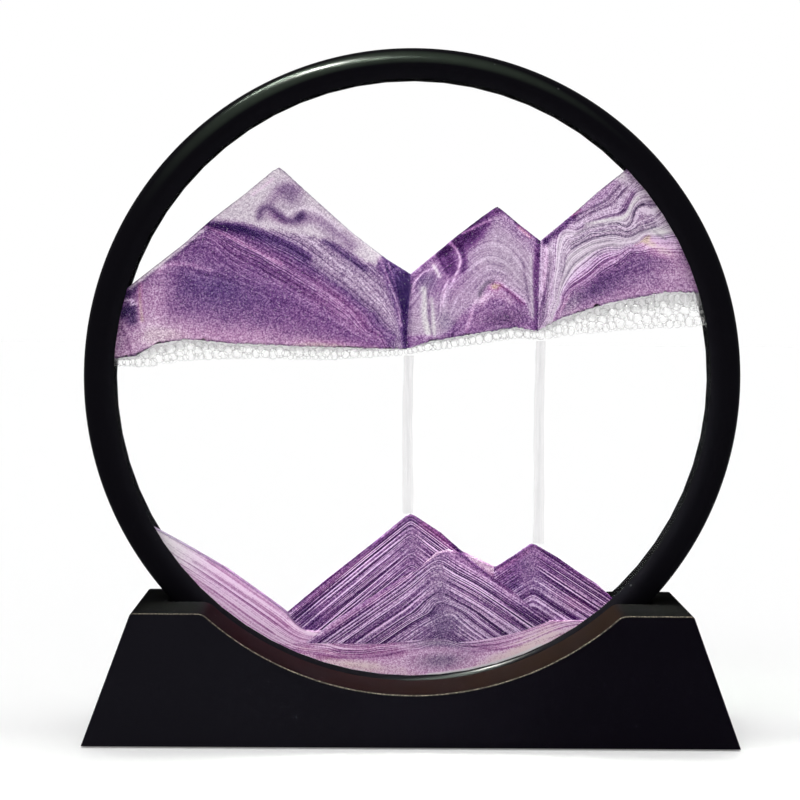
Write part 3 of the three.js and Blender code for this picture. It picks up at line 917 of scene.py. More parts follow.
@dataclass
class Stand:
    """Moulded stand: leaning ends, flat ledges, a saddle and the ring's groove."""

    ring: RingPlace
    height: float
    depth: float
    foot_height: float
    ledge_length: float = 17.4 * MM
    side_run: float = 13 * MM
    groove_sink: float = 7.8 * MM
    groove_gap: float = 0.3 * MM
    saddle_fillet: float = 4 * MM
    end_round: float = 0.8 * MM
    edge_round: float = 0.5 * MM
    rim_round: float = 0.5 * MM
    plate_gap: float = 0.3 * MM
    saddle_steps: int = 160
    ledge_steps: int = 24
    round_steps: int = 6
    # Where the painted reflection tint lies: faces that look up, back from the front and rear edges.
    reflection_upward: Span = (0.25, 0.65)
    reflection_inset: Span = (0.9, 1.0)
    reflection_over: float = 1 * MM
    reflection_fade: float = 3 * MM
    # Where the painted edge highlight lies: edges that look up.
    edge_upward: Span = (0.3, 0.6)
    edge_narrowness: int = 3

    @classmethod
    def from_frame(cls, ring: RingPlace) -> "Stand":
        """Take the main sizes from the frame."""
        low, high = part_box("stand_shell")
        return cls(ring, height=high.z, depth=high.y - low.y, foot_height=low.z)

    @property
    def saddle_radius(self) -> float:
        """Radius of the saddle round the ring's axis."""
        return self.ring.radius - self.groove_sink

    @property
    def saddle_reach(self) -> float:
        """Distance from the middle to where a ledge begins."""
        drop = self.ring.centre.z - self.height + self.saddle_fillet
        return math.sqrt((self.saddle_radius + self.saddle_fillet) ** 2 - drop**2)

    def outline(self) -> np.ndarray:
        """Trace the front view, from the lower left corner to the right, up and back.

        Returns:
            Points as rows of x and z.
        """
        fillet_x, fillet_z = self.saddle_reach, self.height - self.saddle_fillet
        turn = math.atan2(self.ring.centre.z - fillet_z, -fillet_x)
        top_x = fillet_x + self.ledge_length
        base_x = top_x + self.side_run
        lean = self.side_run / (self.height - self.foot_height)
        shoulder = (top_x + lean * self.end_round, self.height - self.end_round)
        right = bend(shoulder, (top_x, self.height), (top_x - self.end_round, self.height), self.round_steps)
        ledge = np.linspace(top_x - self.end_round, fillet_x, self.ledge_steps)
        right += [(x, self.height) for x in ledge[1:-1]]
        right += arc((fillet_x, fillet_z), self.saddle_fillet, math.pi / 2, turn, self.round_steps)
        saddle = arc((0, self.ring.centre.z), self.saddle_radius, turn - math.pi, -turn, self.saddle_steps)
        left = [(-x, z) for x, z in reversed(right)]
        plate_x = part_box("stand_base_plate")[1].x + self.plate_gap
        bottom = [(x, self.foot_height) for x in (-base_x, -plate_x, plate_x, base_x)]
        return np.array(bottom + right + saddle[1:-1] + left)

    @staticmethod
    def outward(outline: np.ndarray) -> np.ndarray:
        """Find how each point of an outline moves when the outline grows by one unit.

        Args:
            outline: Points as rows of x and z, against the clock.

        Returns:
            One row for each point.
        """
        ahead = np.roll(outline, -1, axis=0) - outline
        ahead /= np.linalg.norm(ahead, axis=1, keepdims=True)
        normal = np.stack([ahead[:, 1], -ahead[:, 0]], axis=1)
        middle = normal + np.roll(normal, 1, axis=0)
        return 2 * middle / (middle**2).sum(axis=1, keepdims=True)

    def sections(self, outline: np.ndarray) -> list[tuple[np.ndarray, np.ndarray]]:
        """Follow the surface from the front face over the groove to the rear face.

        Args:
            outline: The front view.

        Returns:
            Pairs of the moved outline and its depth at each point.
        """
        grow = self.outward(outline)
        even = np.ones(len(outline))
        edge = []
        for angle in np.linspace(0, math.pi / 2, self.round_steps + 1):
            inset = self.edge_round * (1 - math.sin(angle))
            set_back = self.edge_round * (1 - math.cos(angle))
            edge.append((outline - grow * inset, even * (self.depth / 2 - set_back)))
        edge.append((outline, even * (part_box("stand_base_plate")[1].y + self.plate_gap)))
        from_axis = outline - np.array([0, self.ring.centre.z])
        reach = np.linalg.norm(from_axis, axis=1)
        top = outline[:, 1] > self.foot_height + self.edge_round
        depth = np.where(top, np.clip(self.ring.radius + self.groove_gap - reach, 0, None), 0)
        down = from_axis / reach[:, None]
        lip = np.minimum(self.rim_round, depth / 2)
        side = self.ring.tube_depth / 2 + self.groove_gap
        rim = []
        for angle in np.linspace(0, math.pi / 2, self.round_steps):
            sink = lip * (1 - math.cos(angle))
            rim.append((outline + down * sink[:, None], side + lip * (1 - math.sin(angle))))
        rim.append((outline + down * depth[:, None], even * side))
        plane = self.ring.centre.y
        front = [(line, -away) for line, away in edge] + [(line, plane - away) for line, away in rim]
        rear = [(line, away) for line, away in edge] + [(line, plane + away) for line, away in rim]
        return front + rear[::-1]

    def housing(self, material: Material) -> None:
        """Build the housing with its groove and the pocket of its base plate.

        Args:
            material: Its finish.
        """
        outline = self.outline()
        rows = self.sections(outline)
        count = len(outline)
        points = [(x, y, z) for line, depths in rows for (x, z), y in zip(line, depths)]
        faces = [list(range(count)), list(range((len(rows) - 1) * count, len(rows) * count))[::-1]]
        for row in range(len(rows) - 1):
            faces += [[a, d, c, b] for a, b, c, d in quads(row * count, (row + 1) * count, count)]
        dress = Dress("stand_housing", Body.STAND, "stand_satin", material, ("stand_shell",))
        made = make_piece(dress, points, faces)
        self.sink_pocket(made.data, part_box("stand_base_plate")[1] + Vector((1, 1, 0)) * self.plate_gap)
        self.surface_marks(made.data)
        made.modifiers.new("even_normals", "WEIGHTED_NORMAL").keep_sharp = True

    def sink_pocket(self, mesh: Mesh, corner: Vector) -> None:
        """Sink the base plate's pocket into the housing's underside.

        Args:
            mesh: The housing.
            corner: The pocket's upper right rear corner.
        """
        work = bmesh.new()
        work.from_mesh(mesh)
        slack = 1e-5
        inside = [
            face
            for face in work.faces
            if all(
                abs(v.co.z - self.foot_height) < slack
                and abs(v.co.x) < corner.x + slack
                and abs(v.co.y) < corner.y + slack
                for v in face.verts
            )
        ]
        raised = bmesh.ops.extrude_face_region(work, geom=inside)
        lifted = [item for item in raised["geom"] if isinstance(item, bmesh.types.BMVert)]
        bmesh.ops.translate(work, verts=lifted, vec=(0, 0, corner.z + self.plate_gap - self.foot_height))
        bmesh.ops.delete(work, geom=[face for face in inside if face.is_valid], context="FACES")
        bmesh.ops.recalc_face_normals(work, faces=work.faces)
        work.to_mesh(mesh)
        work.free()

    def surface_marks(self, mesh: Mesh) -> None:
        """Mark where light is painted: a reflection tint on the saddle and the ledges, and highlights on the
        edges that catch the light.

        Args:
            mesh: The housing.
        """
        x, y, _ = places(mesh).T
        upward = facings(mesh)[:, 2]
        behind_face = rise(self.depth / 2 - np.abs(y), 0, self.edge_round)
        turn = np.arccos(1 - behind_face)
        # Upward faces get the painted reflection tint; the saddle part is split from the ledges.
        film = rise(upward, *self.reflection_upward) * rise(behind_face, *self.reflection_inset)
        saddle = np.clip((self.saddle_reach + self.reflection_over - np.abs(x)) / self.reflection_fade, 0, 1)
        # Painted highlight, strongest halfway round each upward edge's rounding.
        store(mesh, "edge", np.sin(2 * turn) ** self.edge_narrowness * rise(upward, *self.edge_upward))
        store(mesh, "saddle", film * saddle)
        store(mesh, "ledge", film * (1 - saddle))

    def build(self) -> None:
        """Build and dress the stand."""
        satin = StandPlastic("stand_satin", shade(21, 20, 25), roughness=0.42).material()
        self.housing(satin)
        base = MouldedPlastic("stand_base_satin", shade(18, 17, 22), roughness=0.5).material()
        dress_node("stand_base_plate", base)
        rubber = SoftRubber("foot_rubber", shade(24, 24, 25), shade(34, 34, 36), roughness=0.8).material()
        for corner in ("front_left", "front_right", "rear_left", "rear_right"):
            dress_node(f"foot_{corner}", rubber)


@dataclass
class RingFrame:
    """Glossy tubular ring in two halves, and the glass cell's edge in it."""

    ring: RingPlace
    tube_width: float = 10 * MM
    lip_depth: float = 4.1 * MM
    pocket_radius: float = 87.4 * MM
    parting: float = 0.05 * MM
    parting_groove: float = 0.2 * MM
    lip_round: float = 0.35 * MM
    segments: int = 256
    tube_steps: int = 40
    lip_steps: int = 5

    @property
    def lip_radius(self) -> float:
        """Radius of the opening that shows the glass."""
        sink = 2 * self.lip_depth / self.ring.tube_depth
        return self.ring.radius - self.tube_width / 2 * (1 + math.sqrt(1 - sink**2))

    def profile(self) -> list[Point]:
        """Trace one half of the tube.

        Returns:
            Points as (radius, y) of the rear half.
        """
        radius, tube_depth = self.ring.radius, self.ring.tube_depth
        middle = radius - self.tube_width / 2
        half_width, half_depth = self.tube_width / 2, tube_depth / 2
        last = math.pi - math.asin(self.lip_depth / half_depth)
        first = 2 * self.parting_groove / tube_depth
        oval = [
            (middle + half_width * math.cos(a), half_depth * math.sin(a))
            for a in np.linspace(first, last, self.tube_steps)
        ]
        tip, before = np.array(oval[-1]), np.array(oval[-2])
        back = (before - tip) / np.linalg.norm(before - tip)
        start, end = tip + back * self.lip_round, tip + [self.lip_round, 0]
        lip = bend(tuple(start), tuple(tip), tuple(end), self.lip_steps)
        inside = [(self.pocket_radius, self.lip_depth), (self.pocket_radius, self.parting)]
        seam = [(radius - self.parting_groove, self.parting)]
        return oval[:-1] + lip + inside + seam

    def build(self) -> None:
        """Build and dress the ring and what it holds at its edge."""
        gloss = RingPlastic(
            "ring_gloss",
            shade(13, 12, 16),
            roughness=0.17,
            roughness_spread=0.05,
            specular=0.0012,
            texture_depth=0.003 * MM,
            speck_share=0.008,
            dull_part="lip",
        ).material()
        for name, node, side in (
            ("ring_front_half", "front_ring_shell", -1),
            ("ring_rear_half", "rear_ring_shell", 1),
        ):
            profile = [(r, side * y) for r, y in self.profile()]
            points, faces = turned(profile, self.segments, self.ring.centre)
            made = make_piece(Dress(name, Body.FRAME, "ring_gloss", gloss, (node,)), points, faces)
            away = places(made.data) - np.array(self.ring.centre)
            store(made.data, "lip", np.hypot(away[:, 0], away[:, 2]) < self.lip_radius + self.lip_round)
        rubber = SoftRubber("gasket_rubber", shade(13, 13, 15), shade(22, 22, 24), roughness=0.7).material()
        dress_node("cell_edge_gasket", rubber)
        dress_node("fill_plug", rubber)
        white = SoftRubber("spacer_white", shade(232, 232, 234), shade(244, 244, 245), roughness=0.5)
        dress_node("spacer_ring", white.material())
        grey = SoftRubber("sealant", shade(138, 138, 140), shade(160, 160, 162), roughness=0.55).material()
        glass = ClearSheet("cell_glass", (1.0, 1.0, 1.0, 1.0), mirror=0.2, haze=0.002).material()
        for side in ("front", "rear"):
            dress_node(f"{side}_glass_seal", grey)
            dress_node(f"{side}_glass", glass)
        water = ClearSheet("water", (1.0, 1.0, 1.0, 1.0), mirror=0.02, haze=0.0).material()
        dress_node("water_layer", water)


class GuidedStrata:
    """Layers of sand that follow a few given lines, each with its count of stripes."""

    softness: float = 1e-4
    least_gap: float = 1e-9

    def __init__(self, guides: Guides, reach: float = 30.0) -> None:
        """Fit a smooth surface through the lines.

        Args:
            guides: Pairs of a stripe count and a line as (x, z) in millimetres from the ring's centre.
            reach: Length that the distances are measured in.
        """
        self.reach = reach
        self.centres = np.array([point for _, line in guides for point in line]) / reach
        counts = np.array([count for count, line in guides for _ in line])
        size = len(self.centres)
        system = np.zeros((size + 3, size + 3))
        system[:size, :size] = self._spring(self.centres) + self.softness * np.eye(size)
        system[:size, size:] = self._plane(self.centres)
        system[size:, :size] = system[:size, size:].T
        self.weights = np.linalg.solve(system, np.concatenate([counts, np.zeros(3)]))

    def _spring(self, points: np.ndarray) -> np.ndarray:
        """Measure each point against each guide point."""
        gap = np.linalg.norm(points[:, None] - self.centres[None], axis=2)
        return gap**2 * np.log(gap + self.least_gap)

    @staticmethod
    def _plane(points: np.ndarray) -> np.ndarray:
        """List the terms of a plane."""
        return np.column_stack([np.ones(len(points)), points])

    def flow(self, x: np.ndarray, z: np.ndarray) -> np.ndarray:
        """Count the stripes at places given in millimetres."""
        points = np.column_stack([x, z]) / self.reach
        return np.hstack([self._spring(points), self._plane(points)]) @ self.weights


@dataclass(frozen=True)
class Chevron:
    """Layers of a heap that grew at one point: nested along both of its slopes, counted in millimetres."""

    apex: Point
    left_rise: float
    right_fall: float
    spine: Line = ((0.0, 0.0), (0.0, -40.0))
    softness: float = 0.8
    spine_reach: float = 8.0

    def flow(self, x: np.ndarray, z: np.ndarray) -> np.ndarray:
        """Count the stripes.

        Args:
            x: Places along the ring's width, in millimetres.
            z: Places along its height.

        Returns:
            The count at each place.
        """
        below = self.apex[1] - z
        drops = [-drop for _, drop in self.spine]
        across = x - self.apex[0]
        shift = np.interp(below, drops, [aside for aside, _ in self.spine])
        across = across - shift * np.exp(-((across / self.spine_reach) ** 2))
        left = (below + self.left_rise * across) / math.hypot(1, self.left_rise)
        right = (below - self.right_fall * across) / math.hypot(1, self.right_fall)
        return -self.softness * np.logaddexp(-left / self.softness, -right / self.softness)


LOOKS = ("tone", "streak", "hue", "grey", "grain")


@dataclass(frozen=True)
class Band:
    """Look of the sand at one stripe count."""

    flow: float
    tone: float
    streak: float = 0.1
    hue: float = 0.0
    grey: float = 0.0
    grain: float = 1.0


@dataclass(frozen=True, kw_only=True)
class Mark:
    """How a patch or a line differs from the sand round it."""

    tone: float = 0.0
    streak: float = 0.0
    hue: float = 0.0
    grey: float = 0.0
    grain: float = 0.0


@dataclass(frozen=True)
class Blotch(Mark):
    """Soft oval patch, in millimetres from the ring's centre."""

    x: float
    z: float
    length: float
    width: float
    tilt: float = 0.0

    def share(self, x: np.ndarray, z: np.ndarray) -> np.ndarray:
        """Tell how strong the patch is at places given in millimetres."""
        turned_back = (x - self.x + 1j * (z - self.z)) * np.exp(-1j * math.radians(self.tilt))
        return np.exp(-((turned_back.real / self.length) ** 2) - (turned_back.imag / self.width) ** 2)


@dataclass(frozen=True)
class Stroke(Mark):
    """Soft line through points, in millimetres from the ring's centre."""

    width: float
    line: Line

    def share(self, x: np.ndarray, z: np.ndarray) -> np.ndarray:
        """Tell how strong the line is.

        Args:
            x: Places along the ring's width, in millimetres.
            z: Places along its height.

        Returns:
            1 on the line, falling to 0.
        """
        spots = np.column_stack([x, z])
        corners = np.asarray(smooth(self.line), float)
        away = np.full(len(x), np.inf)
        for start, end in zip(corners[:-1], corners[1:]):
            run = end - start
            part = np.clip((spots - start) @ run / (run @ run), 0, 1)
            away = np.minimum(away, np.linalg.norm(spots - start - part[:, None] * run, axis=1))
        return np.exp(-((away / self.width) ** 2))


@dataclass(frozen=True)
class Cap:
    """Sand with a look of its own above a speckled line, in millimetres from the ring's centre."""

    line: Line
    look: Band
    softness: float = 0.2
    speckle: float = 0.3
    limit: float = 40.0
    seed: int = 5

    def share(self, x: np.ndarray, z: np.ndarray) -> np.ndarray:
        """Tell how far places belong to the cap.

        Args:
            x: Places along the ring's width, in millimetres.
            z: Places along its height.

        Returns:
            From 0 to 1.
        """
        strewn = np.random.default_rng(self.seed).normal(0, self.speckle, len(x))
        above = z - np.interp(x, *zip(*self.line)) + strewn
        return 1 / (1 + np.exp(-np.clip(above / self.softness, -self.limit, self.limit)))


def smooth(line: Line, rounds: int = 2, share: float = 0.25) -> np.ndarray:
    """Round off a line's corners by cutting them.

    Args:
        line: Corner points.
        rounds: How often they are cut.
        share: Part of each stretch that a cut takes.

    Returns:
        The points as rows.
    """
    corners = np.asarray(line, float)
    for _ in range(rounds):
        if len(corners) < 3:
            break
        first, last = corners[:-1], corners[1:]
        cuts = [first * (1 - share) + last * share, first * share + last * (1 - share)]
        cut = np.stack(cuts, axis=1).reshape(-1, 2)
        corners = np.vstack([corners[:1], cut[1:-1], corners[-1:]])
    return corners


@dataclass(frozen=True)
class Cell:
    """Inside of the glass cell; its drawings are in millimetres from a little below the ring's centre."""

    height: float
    radius: float
    front: float
    rear: float
    ridge_rear: float
    peak_front: float
    drop: float = 0.5

    @classmethod
    def from_frame(cls) -> "Cell":
        """Take the sizes from the frame.

        Returns:
            The cell.
        """
        low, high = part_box("water_layer")
        sand_low, sand_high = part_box("lower_sand_bed")
        return cls(
            height=(low.z + high.z) / 2 - cls.drop * MM,
            radius=(high.x - low.x) / 2 / MM,
            front=sand_low.y / MM,
            rear=sand_high.y / MM,
            ridge_rear=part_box("lower_sand_front_ridge")[1].y / MM,
            peak_front=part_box("lower_sand_left_peak")[0].y / MM,
        )

    def reach(self, points: np.ndarray) -> np.ndarray:
        """Measure points from the cell's axis."""
        return np.hypot(points[..., 0], points[..., 1] - self.drop)

    def trim(self, line: Line, steps: int = 900) -> np.ndarray:
        """Split a line into so many points and keep those inside the cell."""
        points = spread(line, steps)
        return points[self.reach(points) < self.radius]

    def wall(self, start: Point, end: Point, steps: int = 60) -> np.ndarray:
        """Follow the round wall the short way between two points on it.

        Args:
            start: First point as (x, z).
            end: Last point.
            steps: Steps along the wall.

        Returns:
            The points as rows, both ends included.
        """
        first, last = (math.atan2(z - self.drop, x) for x, z in (start, end))
        last += 2 * math.pi * round((first - last) / (2 * math.pi))
        return np.array([start, *arc((0, self.drop), self.radius, first, last, steps)[1:-1], end])


def spread(line: Line, count: int) -> np.ndarray:
    """Place points evenly along a line.

    Args:
        line: Corner points.
        count: How many points are wanted.

    Returns:
        The points as rows.
    """
    corners = np.asarray(line, float)
    lengths = np.concatenate([[0], np.cumsum(np.hypot(*np.diff(corners, axis=0).T))])
    at = np.linspace(0, lengths[-1], count)
    return np.column_stack([np.interp(at, lengths, corners[:, axis]) for axis in (0, 1)])


def across(line: Line, count: int) -> np.ndarray:
    """Place points along a line at even steps of x.

    Args:
        line: Corner points, from left to right.
        count: How many points are wanted.

    Returns:
        The points as rows.
    """
    corners = np.asarray(line, float)
    x = np.linspace(corners[0, 0], corners[-1, 0], count)
    return np.column_stack([x, np.interp(x, corners[:, 0], corners[:, 1])])


@dataclass(frozen=True)
class Layer:
    """Flat body in the cell between four edges, in millimetres from the ring's centre."""

    name: str
    slot: str
    top: Line
    bottom: Line
    left: Line
    right: Line
    front: float
    rear: float
    crest_round: float = 0.8
    pitch: float = 0.3
    crest_grain: float = 0.08
    base_grain: float = 0.0
    row_bias: float = 1.2
    row_share: float = 0.85
    spare_rows: int = 4
    jag_spread: Triple = (0.5, 1, 0.5)
    end_steps: int = 200
    most_recess: float = 0.4
    sharp_angle: float = math.radians(60)

    def grid(self) -> np.ndarray:
        """Spread points evenly between the four edges.

        Returns:
            Points by column, row and axis.
        """
        top, bottom = np.asarray(self.top, float), np.asarray(self.bottom, float)
        width = max(np.ptp(top[:, 0]), np.ptp(bottom[:, 0]))
        columns = int(width / self.pitch) + 2
        upper, lower = across(top, columns), across(bottom, columns)
        rows = int(np.abs(upper - lower)[:, 1].max() / self.pitch * self.row_share) + self.spare_rows
        shares = np.linspace(0, 1, rows) ** self.row_bias
        at = np.linspace(0, 1, self.end_steps)
        ends = []
        for line in (self.left, self.right):
            even = spread(line, self.end_steps)
            ends.append(np.column_stack([np.interp(shares, at, even[:, axis]) for axis in (0, 1)])[None])
        s = np.linspace(0, 1, columns)[:, None, None]
        t = shares[None, :, None]
        ruled = (1 - t) * upper[:, None] + t * lower[:, None] + (1 - s) * ends[0] + s * ends[1]
        corners = (1 - s) * ((1 - t) * upper[0] + t * lower[0]) + s * ((1 - t) * upper[-1] + t * lower[-1])
        return ruled - corners

    def solid(self, cell: Cell, dress: Dress) -> Object:
        """Build a closed body with a rounded crest.

        Args:
            cell: The cell that holds it.
            dress: Its name, slot and finish.

        Returns:
            The new piece.
        """
        grid = self.grid()
        columns, rows = grid.shape[:2]
        chance = np.random.default_rng(len(self.name))
        grid[1:-1, 0, 1] -= np.abs(chance.normal(0, self.crest_grain, columns - 2))
        jags = np.convolve(chance.normal(0, self.base_grain, columns), self.jag_spread, "same")
        grid[1:-1, -1, 1] += np.abs(jags[1:-1])
        near = np.clip(1 - np.linalg.norm(grid - grid[:, :1], axis=2) / self.crest_round, 0, 1)
        recess = self.crest_round * (1 - np.sqrt(1 - near**2))
        set_in = np.minimum(recess, (self.rear - self.front) * self.most_recess)
        points = []
        for depth in (self.front + set_in, self.rear - set_in):
            sheet = np.stack([grid[..., 0], depth, grid[..., 1]], axis=2).reshape(-1, 3)
            points.append(sheet * MM + [0, 0, cell.height])
        number = np.arange(columns * rows).reshape(columns, rows)
        corners = [number[:-1, :-1], number[:-1, 1:], number[1:, 1:], number[1:, :-1]]
        front = np.stack(corners, axis=2).reshape(-1, 4)
        rear = front[:, ::-1] + number.size
        rim = np.concatenate([number[:, 0], number[-1, 1:], number[-2::-1, -1], number[0, -2:0:-1]])
        after = np.roll(rim, -1)
        sides = np.stack([rim, after, after + number.size, rim + number.size], axis=1)
        return make_piece(dress, np.vstack(points), np.vstack([front, rear, sides]), self.sharp_angle)


Bands = tuple[Band, ...]
Marks = tuple[Blotch | Stroke, ...]


@dataclass(frozen=True, kw_only=True)
class SandMass(Layer):
    """One body of striped sand."""

    node: str
    strata: GuidedStrata | Chevron
    bands: Bands
    marks: Marks = ()
    caps: tuple[Cap, ...] = ()

    def looks(self, x: np.ndarray, z: np.ndarray) -> dict[str, np.ndarray]:
        """Work out the stripes and shades at places given in millimetres.

        Args:
            x: Places along the ring's width.
            z: Places along its height.

        Returns:
            Numbers for the sand's finish, by name.
        """
        flow = self.strata.flow(x, z)
        counts = [band.flow for band in self.bands]
        found = {}
        for look in LOOKS:
            found[look] = np.interp(flow, counts, [getattr(band, look) for band in self.bands])
        for cap in self.caps:
            share = cap.share(x, z)
            for look in LOOKS:
                found[look] += (getattr(cap.look, look) - found[look]) * share
        for mark in self.marks:
            share = mark.share(x, z)
            for look in LOOKS:
                found[look] += getattr(mark, look) * share
        found["streak"] = np.clip(found["streak"], 0, None)
        found["grey"] = np.clip(found["grey"], 0, 1)
        return {"flow": flow, **found}

    def build(self, cell: Cell, material: Material) -> None:
        """Build the sand and store its stripes and shades.

        Args:
            cell: The cell that holds it.
            material: The sand's finish.
        """
        made = self.solid(cell, Dress(self.name, Body.FRAME, self.slot, material, (self.node,)))
        where = places(made.data) / MM
        for name, numbers in self.looks(where[:, 0], where[:, 2] - cell.height / MM).items():
            store(made.data, name, numbers)


